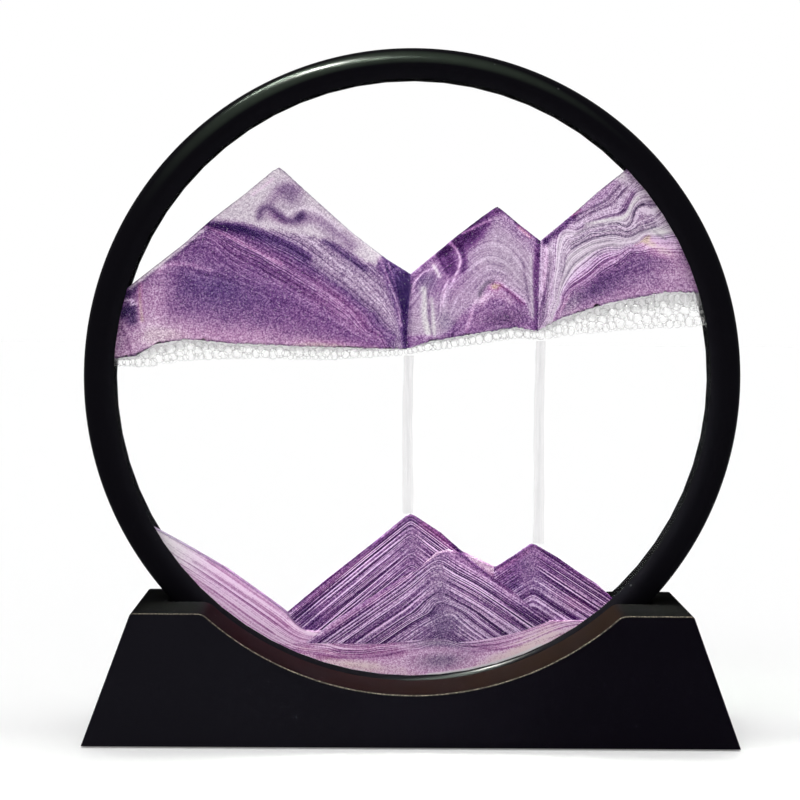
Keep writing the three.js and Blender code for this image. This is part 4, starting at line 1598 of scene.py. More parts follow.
@dataclass
class UpperSand:
    """Three masses of sand that hang above the bubbles, in millimetres from the ring's centre."""

    cell: Cell
    left_valley: Point = (-0.8, 29.2)
    right_valley: Point = (34.6, 38.5)
    left_outlet: Point = (-1.8, 8.6)
    right_outlet: Point = (34.1, 13.8)
    left_crest: Line = (
        (-90, 16.5), (-77.7, 25.1), (-62.7, 36.9), (-55.1, 43.7), (-45.9, 50.8), (-38.6, 56.9),
        (-36.8, 57.9), (-35, 56.6), (-29.9, 51.9), (-17, 40.5), (-7.6, 33.4),
    )
    middle_crest: Line = ((11.4, 39.4), (16.8, 43.6), (21.6, 47.2), (22.8, 47.7), (24, 46.9), (28.6, 43.1))
    right_crest: Line = ((43.8, 46.2), (50.3, 52.1), (90, 84))
    left_base: Line = (
        (-90, 4.4), (-75.8, 6), (-70.8, 9.2), (-62.6, 10.8), (-50, 9.7), (-34.4, 9.1), (-9.3, 8.6),
    )
    middle_base: Line = ((4.3, 10.6), (14.3, 12.3), (28.2, 14.7))
    right_base: Line = ((40.7, 17.4), (47.3, 19.5), (54.6, 21.8), (69.2, 24.6), (90, 24.6))
    jag: float = 0.34
    cap_line: Line = (
        (-60, 45), (-56, 42.8), (-50.9, 42.9), (-46.3, 42.8), (-41.7, 41.4), (-37.7, 40.6), (-31.9, 39.8),
        (-25, 38.6), (-22.2, 38), (-17.6, 35.2), (-13.6, 32.8), (-10.3, 31.4), (-8.6, 34), (0, 45),
    )
    cap: Cap = Cap(cap_line, Band(0, 0.86, 0.06, 0.25, 0.85, 0.65))
    left_guides: Guides = (
        (0, ((-36.8, 58), (-29.9, 51.9), (-17, 40.5), (-10.1, 35.2))),
        (7, ((-17.9, 35.3), (-11.1, 29.7), (-6.9, 25.9), (-3.5, 18.2), (-2.3, 11))),
        (10, ((-24.6, 37.7), (-15.4, 30.6), (-6.9, 21.6), (-3.2, 13.4))),
        (13.5, ((-31.4, 38.7), (-21.3, 31), (-11.1, 22.5), (-4, 13.4))),
        (18.5, (
            (-56.3, 42.8), (-48.3, 41.3), (-38.1, 36.1), (-31.4, 32.7), (-24.6, 28.5), (-17.9, 23.8),
            (-11.1, 18.2), (-4.8, 11.8),
        )),
        (24, (
            (-56.3, 40.8), (-49.1, 37), (-41.5, 33.2), (-34.8, 29.3), (-26.3, 24.2), (-17.9, 18.2),
            (-11.1, 12.3), (-8, 9.4),
        )),
        (31, ((-68, 30.5), (-58, 28), (-45, 24.5), (-33, 20), (-22, 15), (-12, 10.6))),
        (38, ((-74, 20), (-60, 18.5), (-45, 16.5), (-32, 13.8), (-20, 11), (-12, 9.6))),
        (43, ((-81, 5.8), (-75.8, 7), (-70.8, 9.8), (-62.6, 11.2), (-50, 10.1), (-34.4, 9.4), (-9.3, 8.8))),
    )
    left_bands: Bands = (
        Band(0, 0.46, 0.1, -0.3, 0.1), Band(6, 0.46, 0.16, -0.3, 0.2), Band(9, 0.6, 0.2, -0.2, 0.4),
        Band(13, 0.65, 0.22, -0.2, 0.45), Band(16.5, 0.6, 0.24, -0.2, 0.4),
        Band(17.8, 0.42, 0.26, -0.4, 0.2), Band(18.7, 0.36, 0.2, -0.4), Band(19.6, 0.38, 0.16, -0.2),
        Band(21.5, 0.4, 0.24, 0.1), Band(24, 0.45, 0.4, 0.0), Band(26, 0.42, 0.26, 0.0),
        Band(29, 0.41, 0.12, -0.1), Band(33, 0.4, 0.06, -0.1), Band(38, 0.47, 0.04, 0.1, 0.1),
        Band(41, 0.6, 0.04, 0.5, 0.3), Band(43, 0.69, 0.04, 0.8, 0.35),
    )
    left_marks: Marks = (
        Stroke(
            0.9, ((-24.5, 38), (-20.5, 35.3), (-16.4, 32.4), (-13.4, 30.4)),
            tone=-0.36, hue=-0.5, grey=-0.3,
        ),
        Stroke(
            1.4, ((-57, 42), (-50, 41.6), (-46, 41), (-41.7, 39.5), (-37, 37.9), (-33, 36.2), (-29, 33.6)),
            tone=-0.42, hue=-0.5, grey=-0.6,
        ),
        Stroke(1.6, ((-38.5, 49.2), (-37, 51.6), (-34.5, 53), (-32, 51.8)), tone=-0.2, grey=-0.3, hue=-0.2),
        Blotch(-33.8, 50, 3.8, 2.6, -35, tone=-0.36, grey=-0.3, hue=-0.5),
        Blotch(-37.5, 44.4, 3.4, 1.5, -20, tone=-0.2, grey=-0.4),
        Stroke(
            1.2, (
                (-42, 44.4), (-41.9, 46.3), (-39.8, 47.3), (-37.5, 45.6), (-34.8, 43.2), (-32.4, 43.4),
                (-30.6, 45),
            ),
            tone=-0.46, grey=-0.35, hue=-0.5,
        ),
        Stroke(
            2.0, ((-30.6, 43.8), (-28, 44.6), (-25, 43.2), (-21, 40), (-17, 36.8)),
            tone=-0.28, grey=-0.4, hue=-0.4,
        ),
        Stroke(0.7, ((-34.5, 45.4), (-31.6, 46.6), (-28.5, 46.9), (-25, 45.2), (-20, 41.3)), tone=0.14),
        Stroke(0.5, ((-44, 50.4), (-41, 52.6), (-38.6, 54.6)), tone=0.1, hue=0.6, grey=-0.3),
        Blotch(-3.6, 26.4, 8, 2.8, 106, tone=-0.24, hue=-0.5, grey=-0.9),
        Stroke(
            1.1, ((-8.7, 32.6), (-6.6, 29), (-4.5, 23), (-3, 16), (-2, 9)),
            tone=-0.22, hue=-0.3, grey=-0.6,
        ),
        Stroke(2.2, ((-1.2, 29), (-2, 25), (-2.3, 21)), tone=-0.3, hue=-0.5, grey=-0.6),
        Stroke(0.9, ((-2.2, 21), (-2.3, 15), (-2, 9)), tone=-0.3, hue=-0.2, grey=-0.6),
        Stroke(0.4, ((-8.9, 33), (-7, 28), (-4.8, 23), (-3.2, 15)), tone=0.42, hue=0.6),
        Stroke(0.35, ((-7, 32), (-5, 26.4), (-3.4, 19)), tone=0.3, hue=0.5),
        Stroke(1.0, ((-78.6, 22.8), (-76.3, 24), (-75.4, 25.5)), tone=-0.34, hue=-0.5),
        Stroke(1.6, ((-78.8, 18), (-76.5, 19.5), (-76.6, 16)), tone=-0.42, hue=-1.0),
        Stroke(0.35, ((-78.5, 21.4), (-76, 21.7), (-77.5, 20), (-75.4, 20.6)), tone=0.55),
        Stroke(0.5, ((-79.5, 14), (-78, 10), (-77, 7)), tone=-0.2),
        Blotch(-71, 22, 10, 4.5, 75, tone=0.26, hue=0.6, grey=0.15),
        Stroke(0.7, ((-74.6, 26), (-74.6, 21), (-74, 16)), tone=0.06, hue=1.2),
        Stroke(
            0.7, ((-69.5, 29.5), (-68, 31.2), (-64, 31.5), (-59.5, 31), (-55.4, 29.7)),
            tone=0.26, hue=0.4,
        ),
        Stroke(0.7, ((-77, 25), (-70, 30.5), (-62, 36.8), (-57, 41)), tone=0.42, grey=0.7),
        Stroke(0.4, ((-75, 25.5), (-70, 29.7), (-63, 35), (-58, 39.5)), tone=-0.25),
        Blotch(-54, 24, 14, 6, -12, tone=-0.06, hue=-0.6),
        Blotch(-52, 12, 16, 2.5, tone=0.0, hue=0.3),
        Blotch(-19, 18, 11, 5, -40, tone=0.12, hue=0.25),
        Blotch(-69, 12.5, 8, 3, 10, tone=0.1, hue=0.5, grey=0.15),
        Blotch(-25, 9.6, 9, 1.2, tone=0.04, hue=0.8),
        Stroke(0.4, ((-57, 41.8), (-50, 38.9), (-42, 34.6), (-36, 31.6)), tone=0.2, hue=0.6),
    )
    middle_guides: Guides = (
        (0, ((0, 30), (11.4, 39.4), (16.8, 43.6), (22.8, 47.8), (28.6, 43.1), (34, 39))),
        (7, ((0.6, 22), (7, 32), (15, 38), (22.5, 41.5), (29, 37), (33.6, 30))),
        (14, ((2.4, 14), (9, 23), (15.5, 30), (22, 33), (28.5, 28), (33.4, 20))),
        (20, ((7, 12.4), (13.5, 18), (18.2, 21.8), (22.6, 27), (27.5, 24.3), (31, 20.8), (33.4, 15.5))),
        (28, ((4.3, 10.7), (14.3, 12.4), (28.2, 14.8))),
    )
    middle_bands: Bands = (
        Band(0, 0.52, 0.14), Band(3, 0.6, 0.14, grey=0.2), Band(7, 0.71, 0.11, grey=0.5, grain=0.6),
        Band(14, 0.73, 0.12, grey=0.6, grain=0.6), Band(19, 0.7, 0.12, grey=0.4, grain=0.8),
        Band(20.3, 0.61, 0.1), Band(22, 0.58, 0.1), Band(28, 0.53, 0.1),
    )
    middle_marks: Marks = (
        Blotch(8.5, 29, 9.5, 6.5, 55, tone=-0.13, grey=-0.6, streak=0.06),
        Stroke(0.8, ((13.7, 41.3), (18.5, 44.2), (23.3, 46.9)), tone=-0.45, grey=-0.6),
        Stroke(0.35, ((13.3, 40.4), (18.1, 42.8), (20.7, 43.9)), tone=0.3, hue=0.4),
        Stroke(0.9, ((11.6, 38.8), (14.5, 40), (17.6, 41.7), (20.2, 43.1)), tone=-0.34, grey=-0.5),
        Blotch(13.8, 37.8, 4.6, 2, 20, tone=-0.42, grey=-0.6),
        Blotch(17.4, 40, 2.8, 1.2, 30, tone=-0.3, grey=-0.5),
        Stroke(0.8, ((12.6, 36.8), (13.5, 34.5), (14, 32.5), (13.6, 30.2)), tone=-0.36, grey=-0.5),
        Stroke(
            0.35, ((9.7, 37.9), (11.7, 36.1), (12.7, 33.8), (12.7, 31.7), (11.5, 28.8), (10.7, 27.3)),
            tone=0.44, hue=0.3,
        ),
        Blotch(10, 32.3, 4, 1.8, 110, tone=-0.42, grey=-0.6),
        Blotch(8.4, 35.8, 3, 1.5, 50, tone=-0.38, grey=-0.5),
        Stroke(0.4, ((6.6, 34.3), (8.1, 31.7), (9.2, 29.6)), tone=-0.3),
        Stroke(0.55, ((5.4, 31.6), (6.2, 30.2), (7.1, 28.6)), tone=0.4, grey=0.6, hue=0.5),
        Blotch(3.8, 27.2, 3.2, 2.4, 40, tone=-0.16, hue=-0.5, grey=0.3),
        Stroke(0.35, ((-0.2, 24.6), (0.3, 27.2), (2.4, 29.6), (4.8, 30.6)), tone=0.34, hue=0.4),
        Stroke(0.9, ((2.8, 25), (3.2, 22.1), (2.8, 18.2), (4.2, 13.1)), tone=0.24, grey=0.8),
        Stroke(0.35, ((4, 24), (4.2, 18), (5, 13)), tone=-0.25),
        Stroke(0.5, ((5, 22.5), (5.6, 15.7), (5.9, 12.3)), tone=0.2, grey=0.6),
        Blotch(8.6, 16, 2.8, 1.8, 100, tone=-0.14, hue=-0.6),
        Stroke(0.5, ((11.5, 16.4), (10.7, 12.3)), tone=-0.22),
        Stroke(0.35, ((9.4, 27.8), (8.4, 24.4), (7.9, 20.8)), tone=0.24, hue=0.3),
        Stroke(0.45, ((17, 22.1), (14.5, 13.6)), tone=0.22, hue=0.4),
        Blotch(22.2, 26, 1.5, 1.1, tone=0.06, hue=2.2),
        Stroke(0.6, ((18.1, 23.6), (18.7, 25.5), (20.2, 27), (21.6, 27.2)), tone=-0.32, grey=0.5),
        Stroke(0.35, ((23.5, 26.4), (26.3, 24.3), (30.2, 21.2)), tone=-0.34, hue=0.7),
        Stroke(0.35, ((23.8, 26.9), (26.6, 25), (30.6, 21.9)), tone=0.2, hue=0.4),
        Blotch(19.4, 22.9, 1.4, 0.9, 30, tone=0.28, hue=0.5),
        Stroke(1.1, ((18.4, 21.6), (20.4, 23.4), (23.4, 24.2), (26.6, 22)), tone=0.16, hue=0.4, grey=0.2),
        Blotch(24.5, 17.4, 7.4, 2.7, 3, tone=-0.19, hue=0.1, grey=0.3),
        Stroke(
            1.0, ((34.4, 38.3), (34, 34.8), (33.4, 31.2), (33.5, 26), (33.7, 20.8), (34.1, 14)),
            tone=-0.46, grey=-0.6,
        ),
        Stroke(0.4, ((32, 34), (32.2, 27), (32.8, 18)), tone=0.14, grey=0.3),
        Stroke(0.35, ((29.9, 32.5), (30.7, 27.3), (31.5, 22.1)), tone=-0.26),
        Stroke(0.35, ((26.8, 44.4), (30.6, 41.4), (34, 38.6)), tone=-0.3),
        Stroke(0.5, ((28.6, 42.2), (31.6, 39.6)), tone=0.06, hue=1.4),
        Stroke(0.9, ((-0.9, 29), (-1.2, 20), (-1.7, 9)), tone=-0.3, hue=-0.2),
    )
    kinked_line: Line = (
        (43.9, 40), (47.4, 42.2), (52.1, 43.1), (55.4, 43.7), (57.5, 42.5), (58.9, 43.3), (59.7, 45.5),
        (60.3, 47.4), (62.7, 48.8),
    )
    waved_line: Line = (
        (43, 36.4), (46.6, 38.6), (51, 40), (55.6, 40.5), (58.4, 39.7), (60.8, 40.8), (63.6, 41.9),
        (65.8, 42.5),
    )
    upper_waved_line: Line = tuple((x, z + 1.2) for x, z in waved_line)
    right_guides: Guides = (
        (0, ((35.7, 39.7), (43.8, 46.2), (47.7, 49.6), (51, 52.4), (56.2, 57.1))),
        (3, ((43.9, 45.2), (47.4, 47.1), (52.1, 49.4), (54.3, 51.6), (55.9, 53.8), (57.5, 54.5))),
        (4, ((37, 37), (37.3, 33.9), (36.8, 27), (35.9, 20))),
        (5, ((45, 43.3), (49.9, 46.2), (54.3, 48), (56.5, 50.2), (58.4, 52.7))),
        (8, (
            (44.4, 41.6), (48.8, 44.1), (52.1, 45.1), (55.9, 45.9), (57.5, 47.1), (58.6, 49.6),
            (59.7, 51.8),
        )),
        (9, ((40.9, 41.1), (38.9, 31.2), (38.4, 22.9), (37, 18))),
        (11, kinked_line),
        (14, ((40, 27.8), (41.1, 33.4), *waved_line)),
        (19, (
            (40, 23.2), (42, 27.6), (44.7, 30.9), (47.7, 33.4), (50.4, 35.6), (53.2, 36.5), (56.5, 36.7),
            (60.6, 37.8), (63, 39.7),
        )),
        (24, ((41, 21), (45.5, 26.2), (49.3, 28.9), (54, 32.4), (59.2, 36.1), (66, 37))),
        (28, ((41.5, 20), (46, 24), (51, 27.5), (60.4, 32), (74.3, 33.2))),
        (36, ((40.7, 17.8), (47.3, 20.7), (54.6, 22.9), (69.2, 25.3), (78, 25.3))),
    )
    right_bands: Bands = (
        Band(0, 0.72, 0.3, grey=0.2), Band(1.5, 0.66, 0.4, grey=0.1), Band(3, 0.77, 0.4, grey=0.4),
        Band(5, 0.81, 0.48, grey=0.4), Band(8, 0.78, 0.4, grey=0.3),
        Band(9, 0.85, 0.3, grey=0.6, grain=0.6), Band(10.4, 0.83, 0.34, grey=0.6, grain=0.6),
        Band(11, 0.78, 0.36, grey=0.5), Band(12.5, 0.82, 0.4, grey=0.5), Band(14, 0.76, 0.36, grey=0.5),
        Band(15, 0.84, 0.3, grey=0.7, grain=0.5), Band(18, 0.83, 0.34, grey=0.7, grain=0.5),
        Band(19, 0.76, 0.5, grey=0.3), Band(21, 0.72, 0.6, 0.2), Band(23, 0.66, 0.5, 0.2),
        Band(25.5, 0.44, 0.16, 0, 0.1), Band(28, 0.39, 0.08, -0.2, 0.1), Band(32, 0.52, 0.06, 0.1, 0.2),
        Band(36, 0.63, 0.04, 0.4, 0.25),
    )
    right_marks: Marks = (
        Stroke(1.0, ((36, 38.4), (38.8, 40.9), (42, 43.8), (43.4, 45)), tone=-0.62, hue=-0.3, grey=-0.5),
        Stroke(0.45, ((43, 45.4), (45.1, 47)), tone=-0.1, hue=1.2),
        Stroke(0.35, ((43.9, 45), (47.4, 47), (52.1, 49.3), (54.3, 51.5), (55.9, 53.6)), tone=-0.42),
        Stroke(0.35, ((43.9, 43.5), (48.8, 46.7), (53.2, 48.3), (55.9, 50.9), (57.6, 53)), tone=-0.42),
        Stroke(0.35, ((44.4, 41.6), (48.8, 44.1), (52.1, 45.1), (55.9, 45.9), (57.5, 47.1)), tone=-0.36),
        Stroke(0.8, ((57.3, 47.2), (58.7, 50), (59.6, 51.6)), tone=-0.36, grey=-0.2),
        Stroke(
            0.6, ((47, 43.2), (52, 44.2), (56.8, 44.6), (58.4, 46), (59.4, 48.6), (61, 50.2)),
            tone=0.12, grey=0.4,
        ),
        Stroke(0.35, kinked_line, tone=-0.36, grey=0.2),
        Stroke(0.35, upper_waved_line, tone=-0.32, grey=0.2),
        Stroke(0.35, waved_line, tone=-0.42, grey=0.2),
        Blotch(62.4, 45.2, 3.4, 2, -35, tone=-0.18, grey=-0.1),
        Blotch(56.3, 56.2, 1.8, 1.2, tone=0.3, grey=0.7),
        Stroke(0.5, ((49, 34.4), (53.2, 36.3), (56.5, 36.5), (59.6, 37.2)), tone=-0.16, grey=0.2),
        Stroke(0.4, ((60.6, 37.6), (63, 39.2), (64.2, 40)), tone=-0.3, hue=1.4),
        Blotch(63.6, 39.2, 1.5, 0.9, 45, tone=-0.02, hue=1.9),
        Blotch(64.9, 37.9, 1.6, 1, tone=0.15, hue=0.9),
        Blotch(68.6, 35.6, 4.6, 2, -12, tone=0.22, hue=0.9, grey=0.1),
        Stroke(0.35, ((65.8, 41.2), (67.2, 40.3), (68.5, 39.3)), tone=-0.3, grey=0.3),
        Blotch(66.6, 41.4, 2.4, 0.9, -15, tone=0.14, grey=0.5),
        Blotch(52, 25.6, 7, 2.4, 25, tone=-0.18, hue=-0.3),
        Blotch(43.6, 21.6, 4.4, 1.9, 50, tone=0.13, hue=0.2, grey=0.4),
        Blotch(66, 36.4, 5, 2, -10, tone=0.08, hue=0.4),
        Stroke(0.3, ((40.6, 30), (42.2, 33.4), (44.8, 36), (49.2, 38), (54, 38.8)), tone=-0.28, grey=0.2),
        Stroke(
            0.3, ((40.4, 26.6), (42.4, 30.6), (45.6, 33.8), (50, 36.6), (55, 37.8)),
            tone=-0.26, grey=0.2,
        ),
        Blotch(73, 31, 6, 4, tone=0.18, hue=0.6, grey=0.15),
        Stroke(0.9, ((37.3, 34.5), (36.9, 29), (35.9, 24), (35, 16)), tone=-0.34),
        Stroke(0.7, ((36.3, 36.4), (36.1, 31), (35.3, 25)), tone=0.24, hue=0.4),
        Stroke(0.5, ((36, 38.4), (36.8, 37)), tone=-0.2),
        Stroke(0.4, ((42.5, 23.5), (41, 20.5), (39.5, 17.8)), tone=0.25, hue=0.6),
    )

    @staticmethod
    def edges(crest: Line, base: Line) -> tuple[Stroke, Stroke]:
        """Outline a mass: a thin dark line on its crest and one on its underside."""
        return Stroke(0.3, crest, tone=-0.36, grey=0.3), Stroke(0.5, base, tone=-0.46, grey=0.4)

    def left(self) -> SandMass:
        """Describe the large left mountain.

        Returns:
            The mass of sand.
        """
        top = self.cell.trim((*self.left_crest, self.left_valley))
        bottom = self.cell.trim((*self.left_base, self.left_outlet))
        return SandMass(
            "sand_upper_left", "violet_sand",
            top, bottom, self.cell.wall(top[0], bottom[0]), (self.left_valley, self.left_outlet),
            self.cell.front, self.cell.rear, base_grain=self.jag, node="upper_sand_left",
            strata=GuidedStrata(self.left_guides), bands=self.left_bands,
            marks=(*self.left_marks, *self.edges(self.left_crest, self.left_base)), caps=(self.cap,),
        )

    def middle(self) -> SandMass:
        """Describe the small mountain between the two valleys.

        Returns:
            The mass of sand.
        """
        return SandMass(
            "sand_upper_middle", "violet_sand",
            (self.left_valley, *self.middle_crest, self.right_valley),
            (self.left_outlet, *self.middle_base, self.right_outlet),
            (self.left_valley, self.left_outlet), (self.right_valley, self.right_outlet),
            self.cell.front, self.cell.rear, base_grain=self.jag, node="upper_sand_middle",
            strata=GuidedStrata(self.middle_guides), bands=self.middle_bands,
            marks=(*self.middle_marks, *self.edges(self.middle_crest, self.middle_base)),
        )

    def right(self) -> SandMass:
        """Describe the right mountain, which runs up to the wall.

        Returns:
            The mass of sand.
        """
        top = self.cell.trim((self.right_valley, *self.right_crest))
        bottom = self.cell.trim((self.right_outlet, *self.right_base))
        return SandMass(
            "sand_upper_right", "violet_sand",
            top, bottom, (self.right_valley, self.right_outlet), self.cell.wall(top[-1], bottom[-1]),
            self.cell.front, self.cell.rear, base_grain=self.jag, node="upper_sand_right",
            strata=GuidedStrata(self.right_guides), bands=self.right_bands,
            marks=(*self.right_marks, *self.edges(self.right_crest, self.right_base)),
        )

    def underside(self) -> Line:
        """Join the undersides of the three masses, from left to right."""
        left = (*self.left_base, self.left_outlet)
        return (*left, *self.middle_base, self.right_outlet, *self.right_base)

    def build(self, material: Material) -> None:
        """Build the three masses."""
        for mass in (self.left(), self.middle(), self.right()):
            mass.build(self.cell, material)


@dataclass
class LowerSand:
    """Fallen sand: a bed, a dune, two peaks and a ridge, in millimetres from the ring's centre."""

    cell: Cell
    bed_top: Line = (
        (-60, -73.1), (-30, -72.5), (-8.5, -72.6), (0, -71.6), (7.3, -70.9), (13, -72), (22.1, -70.9),
        (30, -69), (38.6, -65.9), (47.3, -65.8), (75, -65.4),
    )
    dune_crest: Line = (
        (-85, -32.9), (-69.8, -41.2), (-61.9, -45.5), (-50.8, -51.9), (-41.6, -58.4), (-36.1, -62.4),
    )
    dune_lee: Line = ((-33.9, -64.1), (-31.5, -67.3), (-29, -68.8), (-26.6, -69.3), (-24.6, -69.1))
    left_peak_crest: Line = (
        (-23.2, -54.9), (-11, -45.2), (-1.6, -37.4), (-0.3, -36.7), (1.1, -37.3), (8.2, -41.9),
        (13.8, -46.8), (22.8, -51.1),
    )
    right_peak_crest: Line = (
        (22.8, -51.1), (23.6, -51.1), (28.5, -47.9), (32.6, -45), (33.5, -44.7), (34.5, -45.1),
        (40.1, -48.3), (46.6, -52.8), (51.2, -55.7), (60, -63.5),
    )
    ridge_crest: Line = (
        (-28.7, -72.2), (-20.1, -65.7), (-7.9, -57.6), (2.4, -51.3), (6.9, -47.1), (10.2, -46.2),
        (14.1, -47.4), (20.6, -52.6), (27.8, -57.5), (33.7, -62.7), (38, -66.1),
    )
    seam: float = 0.1
    bed_inset: float = 0.1
    bed_steps: int = 240
    peak_foot: float = -60
    low_guides: Guides = (
        (0, (
            (-69.1, -41.6), (-58.7, -48.5), (-48.3, -55.4), (-39.6, -61.1), (-34.4, -64.5), (-29.3, -68.6),
            (-22, -70.5), (-10, -72), (0, -71.4), (7.3, -70.7), (13, -71.6), (22, -70.6), (38.6, -65.6),
            (48, -65),
        )),
        (3, (
            (-64.8, -49), (-52.6, -56.8), (-43.9, -62.8), (-36.1, -68.5), (-30.9, -71.5), (-22.2, -72.9),
            (-9.2, -73.4), (0, -72.9), (7.3, -71.6), (13, -72.6), (22, -72.4), (38.6, -67.2),
        )),
        (6, (
            (-57, -58.5), (-45.7, -66.8), (-37, -72), (-30.9, -74.5), (-20.5, -76.2), (-8.3, -75.7),
            (-0.5, -74), (7.3, -72.4), (12.5, -73.3), (21.2, -74.1), (29.9, -72.4), (38.6, -68.8),
            (47.3, -66.8),
        )),
        (11, ((-20, -79.5), (0, -81.5), (20, -79.6), (38, -72.6))),
    )
    bed_bands: Bands = (
        Band(0, 0.9, 0.3, 0.8, 0, 0.7), Band(1.6, 0.62, 0.5, 0.6, 0, 0.7),
        Band(2.8, 0.92, 0.4, 0.9, 0, 0.7), Band(4, 0.62, 0.56, 0.6, 0, 0.7),
        Band(5.2, 0.92, 0.34, 0.9, 0, 0.7), Band(6, 0.6, 0.34, 0.5, 0, 0.7),
        Band(6.9, 0.86, 0.14, 0.9, 0, 0.8), Band(9, 0.88, 0.08, 1.1, 0, 0.8),
        Band(11, 0.9, 0.04, 1.2, 0, 0.8),
    )
    bed_marks: Marks = (
        Blotch(8.5, -77, 8, 2.6, 4, tone=-0.32, hue=-1.5, grey=0.4),
        Blotch(36, -69.6, 9, 2.4, 24, tone=0.34, hue=0.6),
        Blotch(-27, -74.6, 9, 1.6, -12, tone=0.0, hue=0.3, streak=0.1),
        Blotch(8, -72.2, 9, 1.5, 0, tone=-0.26, hue=-1.2, grey=0.3),
        Blotch(-15, -78.4, 10, 1.5, -6, tone=0.08, hue=0.4),
        Blotch(27, -75.4, 9, 2, 18, tone=0.16, hue=0.4),
        Stroke(
            0.8, ((-25.5, -76.4), (-18.1, -75.9), (-12.6, -75.5), (-7.1, -75.3), (-2.2, -74.8)),
            tone=-0.28,
        ),
        Stroke(0.35, ((-32, -73.8), (-26.3, -74.8), (-18, -74.5), (-9.9, -74), (-3.8, -73.6)), tone=-0.26),
        Stroke(0.35, ((14.8, -72.9), (23, -74), (31.2, -72.9), (36.7, -71.1), (42.2, -69.4)), tone=-0.24),
        Stroke(0.35, ((20, -73), (28, -72.4), (36, -69.8), (43, -67.2)), tone=-0.12),
        Stroke(0.3, ((-26, -73.4), (-14, -74.1), (-4, -73.6), (4, -72)), tone=0.2),
        # Painted highlight: a pale line on the bed's lower right edge stands in for a glint along the ring's
        # lower inner edge.
        Stroke(
            0.3, ((5, -81), (12, -80.2), (20, -78.6), (28, -76.1), (36, -72.7)),
            tone=0.5, grey=1.0, grain=-1,
        ),
    )
    dune_bands: Bands = (
        Band(0, 0.9, 0.16, 0.8, 0, 0.4), Band(0.7, 1.0, 0.16, 0.8, 0, 0.4),
        Band(1.4, 0.84, 0.36, 0.7, 0, 0.4), Band(2.2, 1.0, 0.34, 0.7, 0, 0.4),
        Band(3.4, 0.88, 0.4, 0.7, 0, 0.4), Band(4.2, 0.98, 0.36, 0.8, 0, 0.4),
        Band(6, 0.84, 0.36, 0.9, 0, 0.4), Band(8, 0.88, 0.26, 0.9, 0, 0.4),
        Band(11, 0.86, 0.2, 0.9, 0, 0.4),
    )
    dune_marks: Marks = (
        Blotch(-68, -45, 11, 5, -34, tone=0.06, grey=0.8, streak=-0.1),
        Stroke(0.35, ((-66, -47.4), (-55, -54.6), (-45, -61.6), (-37, -67.4)), tone=-0.32),
        Stroke(0.35, ((-63, -52), (-54, -58.2), (-45, -64.6), (-38, -69.6)), tone=-0.32),
        Stroke(0.3, ((-60, -50), (-50, -56.6), (-41, -62.8), (-34, -67.8)), tone=-0.26),
        Stroke(0.35, ((-56, -49.8), (-46, -56.6), (-38, -62.4), (-33.6, -66)), tone=-0.24),
        Blotch(-34, -68.5, 7, 2.2, -38, tone=-0.14, hue=0.2),
        Stroke(0.4, (*dune_crest, *dune_lee[:3]), tone=-0.55, hue=-0.3, grey=0.5),
    )
    left_peak_bands: Bands = (
        Band(0, 0.28, 0.4, 0.2), Band(1.2, 0.4, 0.9), Band(4, 0.42, 1.1), Band(9, 0.41, 1.1),
        Band(14, 0.35, 0.8, -0.1), Band(22, 0.31, 0.5, -0.1),
    )
    left_peak_marks: Marks = (
        Blotch(0.4, -45, 7.5, 3.4, 90, tone=0.02, streak=-0.95, grey=0.3),
        Blotch(-28, -65.6, 5, 3, -42, tone=-0.16, hue=-0.4, streak=-0.2),
        Stroke(1.0, ((3, -39.6), (8.2, -43.6), (12, -46.6)), tone=-0.06, hue=0.6),
        Blotch(12.4, -45.9, 2.4, 1.0, -42, tone=-0.3, hue=-0.5, streak=-0.6),
        Stroke(
            1.5, ((15.4, -48.4), (18.6, -50.2), (22.6, -52.2)),
            tone=0.5, hue=0.9, grey=0.4, streak=-1.0,
        ),
        Stroke(0.4, ((-31, -63.4), (-22, -56), (-11, -47)), tone=0.2, hue=0.4),
    )
    right_peak_bands: Bands = (
        Band(0, 0.26, 0.36, 0.1), Band(2, 0.4, 0.76), Band(6, 0.4, 0.8, -0.1), Band(12, 0.42, 0.7, -0.1),
        Band(20, 0.33, 0.5, -0.1),
    )
    right_peak_marks: Marks = (
        Blotch(32.6, -51, 7, 3.2, 95, tone=0.06, streak=-0.7, grey=0.25),
        Blotch(28, -53, 6, 3.4, 40, tone=-0.04, streak=-0.5),
        Blotch(28, -57, 3, 2, 0, tone=-0.12, hue=-0.4, streak=-0.2),
        Blotch(37, -58, 5, 2, -50, tone=0.02, streak=-0.2, hue=-0.3),
        Stroke(0.6, ((24, -52), (29, -49), (32, -46.8)), tone=-0.1, hue=0.4),
        Blotch(46, -61.5, 5, 2, -20, tone=-0.06, hue=0.6),
    )
    front_ridge_bands: Bands = (
        Band(0, 0.6, 0.1, 0.2, 0.1), Band(0.8, 0.5, 0.3, 0.1), Band(1.5, 0.44, 0.6),
        Band(3, 0.5, 0.86, -0.1), Band(7, 0.49, 0.86, -0.15), Band(12, 0.46, 0.82, -0.15),
        Band(18, 0.42, 0.6, -0.15),
    )
    front_ridge_marks: Marks = (
        Stroke(
            0.45, ((-2, -53.7), (4, -49.7), (7.5, -47), (10.2, -46.3), (12.5, -47)),
            tone=0.3, hue=0.7, grey=0.2,
        ),
        Stroke(0.5, ((12, -47), (14.1, -48), (20.6, -53), (27.8, -57.9)), tone=-0.4, streak=-0.3),
        Blotch(7.6, -54, 8, 3.6, 92, tone=0.04, streak=-0.7, grey=0.35),
        Blotch(9, -67, 7, 6, 92, tone=-0.02, streak=-0.5, hue=-0.4, grey=0.3),
        Blotch(33, -63.5, 4, 1.6, -40, tone=-0.16, hue=-0.3),
        Stroke(0.5, ((-25, -70.4), (-12, -61.8), (0, -53.6)), tone=0.2, hue=0.3),
        Stroke(0.4, ((-12, -70), (0, -62), (6, -57.8)), tone=0.2, hue=0.3),
    )

